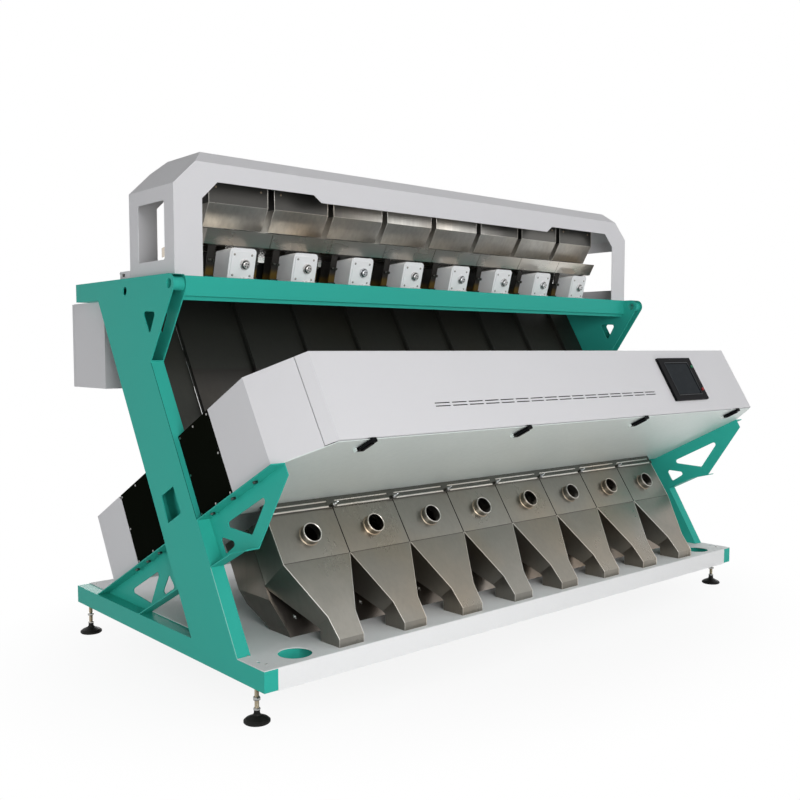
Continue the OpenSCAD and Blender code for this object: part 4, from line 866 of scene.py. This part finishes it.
@dataclass
class Feed:
    """Fittings of the vibrators and hoppers under the housing."""

    finishes: Finishes
    lanes: Lanes
    beam_top: float = 1675.0
    front_y: float = -8.0
    lean: float = 15.0
    plate_y: float = -3.0
    screw_x: float = 44.0
    screw_low: float = 22.0
    screw_high: float = 113.0
    screw_d: float = 11.0
    socket_x: float = 12.0
    socket_z: float = 71.0
    socket_steps: int = 32
    socket_ring: Profile = ((18.8, 0), (23.5, 0), (23.5, 6), (22, 8), (19.4, 8), (18.8, 7), (18.8, 0))
    socket_core: Profile = ((0, 18.6), (13.4, 18.6), (15.4, 17.2), (15.4, 0))
    socket_gap: Profile = ((15.4, 1.2), (18.8, 1.2))
    contacts: int = 4
    contact_r: float = 8.2
    contact_z: float = 18.4
    contact: Profile = ((0, 0.6), (3.0, 0.6), (3.6, 0))
    clasp_x: float = 22.0
    clasp_z: float = 9.0
    clasp_bar: Triple = (52.0, 9.0, 7.0)
    clasp_knob: Profile = ((0, 0), (6.5, 0), (6.5, 9), (4, 11.5), (0, 11.5))
    clasp_loop: Sequence[Triple] = ((14, 0, 8), (22, 3, 15), (32, 4, 18), (41, 1, 13), (44, -2, 6))
    clasp_loop_r: float = 2.4
    spring_x: float = 112.0
    spring_y: float = 33.0
    spring_top: float = 1812.0
    foot_z: float = 1690.0
    foot_plate: Triple = (40.0, 14.0, 5.0)
    foot_bolt_x: float = 11.0
    clamp_z: float = 1762.0
    clamp_plate: Triple = (30.0, 11.0, 5.0)
    clamp_out: float = 2.6
    clamp_stop: Profile = ((0, 5), (6, 5), (6, 11), (3.5, 13), (0, 13))
    roof_z: float = 2195.0
    bend_z: float = 2000.0
    outlet_y: float = 50.0
    outlet_z: float = 1904.0
    hopper_half: float = 150.0
    hopper_screw_x: float = 115.0
    hopper_screw_up: float = 70.0
    hopper_screw_d: float = 12.0

    def _at(self, x: float, z: float) -> Matrix:
        """Frame on a vibrator's leaning front plate, its Z pointing forward."""
        base = move(0, self.front_y, self.beam_top) @ turn(self.lean, "X")
        return base @ move(x, self.plate_y, z) @ turn(90, "X")

    def build(self) -> None:
        """Builds all fittings."""
        self._screws()
        self._sockets()
        self._clasps()
        self._spring_clamps()
        self._hopper_highlight_welds()
        self._hopper_screws()

    def _screws(self) -> None:
        """Four screws on each front plate."""
        shape = Shape()
        for x in self.lanes.middles():
            for dx in (-self.screw_x, self.screw_x):
                for z in (self.screw_low, self.screw_high):
                    shape.pan_screw(self.screw_d, self._at(x + dx, z))
        shape.piece("vibrator_screws", "frame", "fastener", self.finishes)

    def _sockets(self) -> None:
        """Round metal sockets: a raised ring, a dark gap and a middle with four contacts."""
        shape, dark = Shape(), Shape()
        for x in self.lanes.middles():
            middle = self._at(x + self.socket_x, self.socket_z)
            shape.turned(self.socket_ring, middle, self.socket_steps)
            shape.turned(self.socket_core, middle, self.socket_steps)
            dark.turned(self.socket_gap, middle, self.socket_steps)
            for k in range(self.contacts):
                around = Matrix.Rotation((k + 0.4) * math.tau / self.contacts, 4, "Z")
                dark.turned(self.contact, middle @ around @ move(0, self.contact_r, self.contact_z), 12)
        shape.piece("vibrator_sockets", "frame", "aluminium", self.finishes)
        dark.piece("socket_pins", "frame", "black_plastic", self.finishes)

    def _clasps(self) -> None:
        """Bright clasps with a knob, a nut and a wire loop at the foot of each front plate."""
        shape = Shape()
        for x in self.lanes.middles():
            foot = self._at(x + self.clasp_x, self.clasp_z)
            shape.bar(self.clasp_bar, foot @ move(0, -1, self.clasp_bar[2] / 2), 1.4)
            shape.turned(self.clasp_knob, foot @ move(-9, 0, 6), 18)
            shape.hexagon(10.0, 5.0, foot @ move(10, 0, 7))
            shape.bead([foot @ Vector(point) for point in self.clasp_loop], self.clasp_loop_r, 8)
        shape.piece("vibrator_clasps", "frame", "aluminium", self.finishes)

    def _on_spring(self, x: float, z: float) -> Matrix:
        """Frame on the front of a leaf spring, its Z pointing forward."""
        y = self.spring_y + (self.spring_top - z) * math.tan(math.radians(self.lean))
        return move(x, y, z) @ turn(90 + self.lean, "X")

    def _spring_clamps(self) -> None:
        """Dark clamp plates on the leaf springs, with their bolts and stops."""
        shape = Shape()
        for x in self.lanes.middles():
            for dx in (-self.spring_x, self.spring_x):
                foot = self._on_spring(x + dx, self.foot_z)
                shape.bar(self.foot_plate, foot @ move(0, 0, self.clamp_out), 1.2)
                for bx in (-self.foot_bolt_x, self.foot_bolt_x):
                    shape.hexagon(11.0, 6.0, foot @ move(bx, 0, self.foot_plate[2]))
                clamp = self._on_spring(x + dx, self.clamp_z)
                shape.bar(self.clamp_plate, clamp @ move(0, 0, self.clamp_out), 1.2)
                shape.hexagon(13.0, 7.0, clamp @ move(8, 0, 6))
                shape.turned(self.clamp_stop, clamp @ move(-9, 0, 0), 14)
        shape.piece("spring_clamps", "frame", "fastener", self.finishes, "bolt_dark")

    def _hopper_highlight_welds(self) -> None:
        """Ground weld lines along the corners and bends of the hoppers, paler than the sheet as painted
        highlights on the bent edges.
        """
        shape = Shape()
        for x in self.lanes.middles():
            left, right = x - self.hopper_half, x + self.hopper_half
            for side in (left, right):
                top = Vector((side, self.front_y, self.roof_z - 4))
                bend = Vector((side, self.front_y, self.bend_z))
                shape.bead([top, bend, Vector((side, self.outlet_y, self.outlet_z))], 1.2)
            ends = (Vector((side, self.front_y, self.bend_z)) for side in (left, right))
            shape.bead(list(ends), 1.1)
        shape.piece("hopper_highlight_welds", "frame", "stainless", self.finishes, "hopper_edge_highlight")

    def _hopper_screws(self) -> None:
        """Two screws near the upper corners of each hopper's front."""
        shape = Shape()
        height = self.bend_z + self.hopper_screw_up
        for x in self.lanes.middles():
            for side in (-self.hopper_screw_x, self.hopper_screw_x):
                shape.pan_screw(self.hopper_screw_d, move(x + side, self.front_y, height) @ turn(90, "X"))
        shape.piece("hopper_screws", "frame", "fastener", self.finishes, "weld_tint")


@dataclass
class Outlets:
    """Seams, port rims and rail trim in lighter steel as painted highlights, dark beads in the gaps as
    painted shade, and clamps of the outlets.
    """

    finishes: Finishes
    lanes: Lanes
    lean: Lean
    full: float = 166.0
    narrow: float = 68.0
    lip: float = 60.0
    top_s: float = 437.0
    crease_s: float = 227.0
    reach: float = 232.0
    lip_y: float = -794.0
    lip_z: float = 256.0
    deck_z: float = 223.0
    taper: float = 250.0
    port_s: float = 330.0
    port_r: float = 42.0
    port_l: float = 32.0
    port_steps: int = 40
    bulge: float = 12.0
    highlight_weld_r: float = 1.5
    gap_shade_r: float = 2.6
    crease_r: float = 1.3
    crease_in: float = 3.0
    ridge_half: float = 148.0
    ridge_end: float = 4.0
    ridges: Sequence[Triple] = ((5.0, 8.0, 4.2), (30.0, 1.0, 3.4))
    clamp_up: float = 9.0
    clamp_out: float = 18.0
    nut: Profile = ((0, 0), (9, 0), (7.5, 4), (5, 8), (5, 12), (3, 12), (3, 20), (2.2, 21), (0, 21))
    wing: Profile = ((3, 5), (9, 6), (16, 11), (18, 16), (15, 18), (9, 14), (3, 11))
    wing_t: float = 3.0
    wing_turn: float = 20.0
    stud_x: float = -110.0
    stud_y: float = -566.0
    stud_z: float = 300.0
    stud_r: float = 3.0
    stud_lean: float = 124.0

    def _panel(self) -> tuple[Vector, Vector, Vector, Vector]:
        """Side view points of the front panel: top, crease, end of the taper and lip."""
        top = self.lean.point(0, self.top_s, self.reach)
        crease = self.lean.point(0, self.crease_s, self.reach + self.bulge)
        lip = Vector((0, self.lip_y, self.lip_z))
        end = crease + (lip - crease).normalized() * self.taper
        return top, crease, end, lip

    def build(self) -> None:
        """Builds all details."""
        self._seams()
        self._joints()
        self._creases()
        self._ports()
        self._rail()
        self._clamps()
        self._studs()

    def _seams(self) -> None:
        """Ground welds along the spout corners of each outlet, and up the two outermost ones, in lighter
        steel as painted highlights on the bent edges.
        """
        shape = Shape()
        top, crease, end, lip = self._panel()
        outer = max(self.lanes.middles())
        for side in (-1.0, 1.0):
            edge = Vector((side * (outer + self.full), 0, 0))
            shape.bead([top + edge, crease + edge], self.highlight_weld_r)
        for x in self.lanes.middles():
            for side in (-1.0, 1.0):
                shape.bead(
                    [
                        crease + Vector((x + side * self.full, 0, 0)),
                        end + Vector((x + side * self.narrow, 0, 0)),
                        lip + Vector((x + side * self.lip, 0, 0)),
                        Vector((x + side * self.lip, self.lip_y, self.deck_z)),
                    ],
                    self.highlight_weld_r,
                )
        shape.piece("outlet_highlight_welds", "frame", "stainless", self.finishes, "highlight_steel")

    def _joints(self) -> None:
        """Painted shade: dark beads in the gaps between neighbouring outlets."""
        shape = Shape()
        top, crease, _, _ = self._panel()
        for x in self.lanes.seams():
            gap = Vector((x, 1, 0))
            shape.bead([top + gap, crease + gap], self.gap_shade_r, 8)
        shape.piece("outlet_gap_shade", "frame", "black_plastic", self.finishes, "gap_shade_dark")

    def _creases(self) -> None:
        """Dark bend line across each outlet."""
        shape = Shape()
        _, crease, _, _ = self._panel()
        half = self.full - self.crease_in
        for x in self.lanes.middles():
            shape.bead([crease + Vector((end, 0, 0)) for end in (x - half, x + half)], self.crease_r)
        shape.piece("outlet_creases", "frame", "stainless", self.finishes, "crease_dark")

    def _port_frame(self, x: float) -> Matrix:
        """Frame on the upper panel whose Z is the axis of a port."""
        top, crease, _, _ = self._panel()
        share = (self.top_s - self.port_s) / (self.top_s - self.crease_s)
        middle = top + (crease - top) * share
        tilt = math.atan2(top.z - crease.z, top.y - crease.y)
        return move(x, middle.y, middle.z) @ Matrix.Rotation(tilt, 4, "X")

    def _ports(self) -> None:
        """Rolled rim and foot weld of each round port; the rim is in the lighter steel, a painted highlight.
        """
        rims, welds = Shape(), Shape()
        r, end = self.port_r, self.port_l
        inner = [(r - 3, end - 5), (r - 3, end + 0.6), (r - 1.2, end + 1.6)]
        outer = [(r + 0.9, end + 0.6), (r + 0.9, end - 5), (r - 3, end - 5)]
        foot = [(r - 1, 0.2), (r - 1, 4), (r + 2, 2.6), (r + 4.5, 0.2), (r - 1, 0.2)]
        for x in self.lanes.middles():
            at = self._port_frame(x)
            rims.turned(inner + outer, at, self.port_steps)
            welds.turned(foot, at, self.port_steps)
        rims.piece("port_rims", "frame", "stainless", self.finishes, "highlight_steel")
        welds.piece("port_welds", "frame", "stainless", self.finishes, "weld_tint")

    def _rail(self) -> None:
        """Two rolled ridges along the rail, broken at the seams, in the lighter steel as painted highlights.
        """
        shape = Shape()
        for x in self.lanes.middles():
            for up, out, r in self.ridges:
                s, w = self.top_s + up, self.reach + out
                half, bent = self.ridge_half, self.ridge_end
                left = ((x - half, w - bent), (x - half + bent, w))
                right = ((x + half - bent, w), (x + half, w - bent))
                shape.bead([self.lean.point(end, s, depth) for end, depth in left + right], r, 10)
        shape.piece("rail_ridges", "frame", "stainless", self.finishes, "highlight_steel")

    def _clamps(self) -> None:
        """Wing nuts on studs at the seams between the outlets."""
        shape = Shape()
        for x in self.lanes.seams():
            at = self.lean.on_leg(x, self.top_s + self.clamp_up, self.reach + self.clamp_out) @ turn(90, "X")
            shape.turned(self.nut, at, 18)
            for side in (-1.0, 1.0):
                wing = at @ turn(self.wing_turn, "Z") @ Matrix.Diagonal((side, 1.0, 1.0, 1.0))
                upright = wing @ turn(90, "X") @ move(0, 0, -self.wing_t / 2)
                shape.plate(self.wing, self.wing_t, upright, 0.8)
        shape.piece("outlet_clamps", "frame", "fastener", self.finishes, "aluminium")

    def _studs(self) -> None:
        """Stud with a nut on the front of each rear outlet."""
        shape = Shape()
        for x in self.lanes.middles():
            foot = Vector((x + self.stud_x, self.stud_y, self.stud_z))
            shape.bead([foot + Vector((0, 8, 12)), foot + Vector((0, -10, 0))], self.stud_r, 10)
            seat = Matrix.Translation(foot + Vector((0, 2, 8)))
            shape.hexagon(11.0, 6.0, seat @ turn(self.stud_lean, "X"))
        shape.piece("rear_outlet_studs", "frame", "fastener", self.finishes)


@dataclass
class Feet:
    """Threads, nuts and collars of the four levelling feet."""

    finishes: Finishes
    side_x: float = 1570.0
    front_y: float = -727.0
    rear_y: float = 747.0
    stem_r: float = 8.0
    thread_low: float = 48.0
    thread_high: float = 138.0
    pitch: float = 3.0
    nut: Profile = ((8.4, 84), (13, 84), (15.5, 87), (15.5, 93), (13, 96), (8.4, 96), (8.4, 84))
    collar: Profile = ((8.4, 46), (12, 46), (13.4, 48), (13.4, 52), (11, 55), (8.4, 55), (8.4, 46))

    def build(self) -> None:
        """Builds the pieces of each foot."""
        for side, x in (("left", -self.side_x), ("right", self.side_x)):
            for end, y in (("front", self.front_y), ("rear", self.rear_y)):
                self._one(f"foot_{end}_{side}", move(x, y, 0))

    def _one(self, body: str, at: Matrix) -> None:
        """Builds one foot's thread and collars.

        Args:
            body: Body of the foot.
            at: Place of its axis on the floor.
        """
        turns = int((self.thread_high - self.thread_low) / self.pitch)
        root, crest = self.stem_r + 0.05, self.stem_r + 0.9
        outline = [(root, self.thread_low)]
        for k in range(turns):
            z = self.thread_low + k * self.pitch
            outline += [(crest, z + self.pitch * 0.5), (root, z + self.pitch)]
        thread = Shape()
        thread.turned(outline, at, 20)
        thread.piece(f"{body}_thread", body, "fastener", self.finishes, "stem_zinc")
        collars = Shape()
        collars.turned(self.nut, at, 6)
        collars.turned(self.collar, at, 24)
        collars.piece(f"{body}_collars", body, "fastener", self.finishes)


@dataclass
class Console:
    """Dark backing behind the slots, painted shade, and the small fittings of the front box."""

    finishes: Finishes
    lean: Lean
    front: float = 912.0
    box_low: float = 490.0
    slot_x: float = -155.0
    slot_span: float = 1520.0
    slot_low: float = 90.0
    slot_high: float = 150.0
    backing_in: float = 5.5
    backing_t: float = 1.2
    screen_x: float = 875.0
    screen_s: float = 676.5
    glass_w: float = 200.0
    glass_h: float = 176.0
    bezel_t: float = 14.0
    trim_out: float = 5.0
    trim_r: float = 1.6
    latches: int = 4
    latch_pitch: float = 845.0
    latch_s: float = 474.0
    latch_w: float = 866.0
    rivet: Profile = ((0, 3.4), (3.2, 2.8), (5.2, 0.8), (5.6, -3.0), (0, -3.0))

    def build(self) -> None:
        """Builds the fittings."""
        shape = Shape()
        middle = (self.slot_low + self.slot_high) / 2
        at = self.lean.on_leg(self.slot_x, self.box_low + middle, self.front - self.backing_in)
        # A black sheet behind the slots stands in for the shade inside the box.
        shape.bar((self.slot_span, self.backing_t, self.slot_high - self.slot_low), at, 0.3)
        shape.piece("slot_shade_backing", "cover", "black_paint", self.finishes)
        self._screen_trim()
        self._latch_studs()

    def _screen_trim(self) -> None:
        """Narrow raised trim round the glass of the screen."""
        shape = Shape()
        w = self.front + self.bezel_t + 0.4
        half_x = self.glass_w / 2 + self.trim_out
        half_s = self.glass_h / 2 + self.trim_out
        for side in (-1.0, 1.0):
            x, s = self.screen_x + side * half_x, self.screen_s + side * half_s
            upright = ((x, self.screen_s - half_s), (x, self.screen_s + half_s))
            level = ((self.screen_x - half_x, s), (self.screen_x + half_x, s))
            for line in (upright, level):
                shape.bead([self.lean.point(along, up, w) for along, up in line], self.trim_r)
        shape.piece("screen_trim", "cover", "black_plastic", self.finishes, "trim_grey")

    def _latch_studs(self) -> None:
        """Bright rivet on each latch lever."""
        for i in range(self.latches):
            shape = Shape()
            x = (i - (self.latches - 1) / 2) * self.latch_pitch
            shape.turned(self.rivet, self.lean.on_leg(x, self.latch_s, self.latch_w) @ turn(180, "X"), 16)
            shape.piece(f"latch_{i + 1}_rivet", f"latch_{i + 1}", "fastener", self.finishes)


@dataclass
class Housing:
    """Tabs behind the overhead housing, bolted to the side beams."""

    finishes: Finishes
    end_x: float = 1544.0
    beam_top: float = 1675.0
    back_y: float = 298.0
    reach: float = 105.0
    height: float = 41.0
    sheet: float = 3.0
    foot_w: float = 34.0
    foot_out: float = 14.0
    edge: float = 0.8
    bolt_up: float = 24.0
    bolt_back: float = 10.0

    def build(self) -> None:
        """Builds one tab with its foot and bolt behind each end."""
        shape, bolts = Shape(), Shape()
        middle = self.back_y + self.reach / 2
        for side in (-1.0, 1.0):
            wall = move(side * (self.end_x - self.sheet / 2), middle, self.beam_top + self.height / 2)
            shape.bar((self.sheet, self.reach, self.height), wall, self.edge)
            foot = move(side * (self.end_x + self.foot_out), middle, self.beam_top + self.sheet / 2)
            shape.bar((self.foot_w, self.reach, self.sheet), foot, self.edge)
            bolt = move(side * self.end_x, middle + self.bolt_back, self.beam_top + self.bolt_up)
            bolts.hexagon(13.0, 6.0, bolt @ turn(side * 90, "Y"))
        shape.piece("housing_tabs", "frame", "white_paint", self.finishes)
        bolts.piece("housing_bolts", "frame", "fastener", self.finishes, "bolt_dark")


@dataclass
class Legs:
    """Front edges of the legs, a painted highlight low down and painted shade higher up, and the screws in
    their outer plates.
    """

    finishes: Finishes
    lean: Lean
    side_x: float = 1600.0
    half: float = 148.0
    foot_s: float = -78.0
    joint_s: float = 430.0
    gusset_s: float = 1196.0
    edge_r: float = 1.3
    edge_in: float = 0.4
    screw_in: float = 2.4
    screw_d: float = 9.0
    screws_yz: Sequence[tuple[float, float]] = (
        (-122, 1013),
        (-91, 817),
        (-208, 876),
        (12, 759),
        (-304, 707),
        (-194, 648),
        (-78, 590),
    )

    def build(self) -> None:
        """Builds the edges and the screws on both sides."""
        edges, joints, screws = Shape(), Shape(), Shape()
        w = self.half - self.edge_in
        for side in (-1.0, 1.0):
            x = side * (self.side_x - self.edge_r)
            # Pale bead along the lower leg's front edge: a painted highlight.
            foot, joint = self.lean.point(x, self.foot_s, w), self.lean.point(x, self.joint_s, w)
            edges.bead([foot, joint], self.edge_r, 8)
            # Dark bead along the upper leg's front edge: painted shade.
            above = self.lean.point(x, self.joint_s + 1, w)
            joints.bead([above, self.lean.point(x, self.gusset_s, w)], self.edge_r, 8)
            for y, z in self.screws_yz:
                out = move(side * (self.side_x - self.screw_in), y, z) @ turn(side * 90, "Y")
                screws.pan_screw(self.screw_d, out)
        edges.piece("leg_edge_highlights", "frame", "green_paint", self.finishes, "edge_highlight_green")
        joints.piece("leg_edge_shade", "frame", "green_paint", self.finishes, "edge_shade_green")
        screws.piece("leg_screws", "frame", "green_paint", self.finishes)


@dataclass
class Base:
    """Screws of the deck."""

    finishes: Finishes
    deck_top: float = 223.0
    corner_x: float = 1552.0
    corner_ys: tuple[float, float] = (-766.0, -640.0)
    corner_d: float = 11.0
    rear_y: float = 790.0
    rear_places: range = range(-4, 5)
    rear_pitch: float = 380.0
    rear_d: float = 10.0

    def build(self) -> None:
        """Builds the screws."""
        shape = Shape()
        for side in (-1.0, 1.0):
            for y in self.corner_ys:
                shape.pan_screw(self.corner_d, move(side * self.corner_x, y, self.deck_top))
        for k in self.rear_places:
            shape.pan_screw(self.rear_d, move(k * self.rear_pitch, self.rear_y, self.deck_top))
        shape.piece("deck_screws", "frame", "fastener", self.finishes)


@dataclass
class Cabinet:
    """Louvres of the electrical cabinet."""

    finishes: Finishes
    left_x: float = -1539.5
    width: float = 600.0
    front_y: float = 590.0
    depth: float = 347.0
    top_z: float = 1592.0
    louvres: int = 7
    louvre_drop: float = 70.0
    louvre_pitch: float = 16.0
    louvre_half: float = 75.0
    louvre_out: float = 2.5
    louvre_end: float = 5.0
    louvre_r: float = 3.0

    def build(self) -> None:
        """Builds the louvres on the inner end."""
        shape = Shape()
        middle = self.front_y + self.depth / 2
        near = self.left_x + self.width
        out = near + self.louvre_out
        half = self.louvre_half
        for k in range(self.louvres):
            z = self.top_z - self.louvre_drop - k * self.louvre_pitch
            line = ((near, -half), (out, self.louvre_end - half), (out, half - self.louvre_end), (near, half))
            shape.bead([Vector((x, middle + y, z)) for x, y in line], self.louvre_r, 8)
        shape.piece("cabinet_louvres", "frame", "white_paint", self.finishes)


@dataclass
class Sorter:
    """The machine as a whole: its CAD nodes and the finish of each."""

    frame: dict[str, Any]
    finishes: Finishes

    def _finish_of(self, node: str, slot: str) -> str:
        """Name of a node's finish: its slot's, or one of its own where the same stuff looks different; the
        fascia's is a lighter copy of the white paint, painted light.
        """
        own = {
            # The hoppers' finish carries a painted reflection on their upper sheet.
            "feed_hoppers": "hopper_steel",
            "outlet_rail": "rail_steel",
            "front_fascia": "fascia_lit_white",
            "vibrators": "cover_white",
            "frame_bolts": "bolt_dark",
        }
        return "tray_steel" if node.startswith("feed_tray") else own.get(node, slot)

    def dress(self) -> None:
        """Gives every CAD node its material."""
        slots = {part["node"]: part["material_slot"] for part in self.frame["record"]["subparts"]}
        for node, item in self.frame["nodes"].items():
            finish = self._finish_of(node, slots[node])
            item.data.materials.clear()
            item.data.materials.append(self.finishes[finish])
            LOG.info("dressed %s in %s", node, finish)

    def build(self) -> None:
        """Builds the pieces that go on the CAD nodes."""
        lanes, lean = Lanes(), Lean()
        Feed(self.finishes, lanes).build()
        Outlets(self.finishes, lanes, lean).build()
        Feet(self.finishes).build()
        Console(self.finishes, lean).build()
        Housing(self.finishes).build()
        Legs(self.finishes, lean).build()
        Base(self.finishes).build()
        Cabinet(self.finishes).build()


def clear_scene() -> None:
    """Removes what Blender opens with."""
    for item in list(bpy.data.objects):
        bpy.data.objects.remove(item)


def main() -> None:
    """Builds the studio and dresses the machine."""
    logging.basicConfig(level=logging.INFO)
    clear_scene()
    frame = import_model()
    bpy.context.scene.view_settings.view_transform = "Standard"
    Studio().build()
    sorter = Sorter(frame, Finishes())
    sorter.dress()
    sorter.build()


if __name__ == "__main__":
    main()
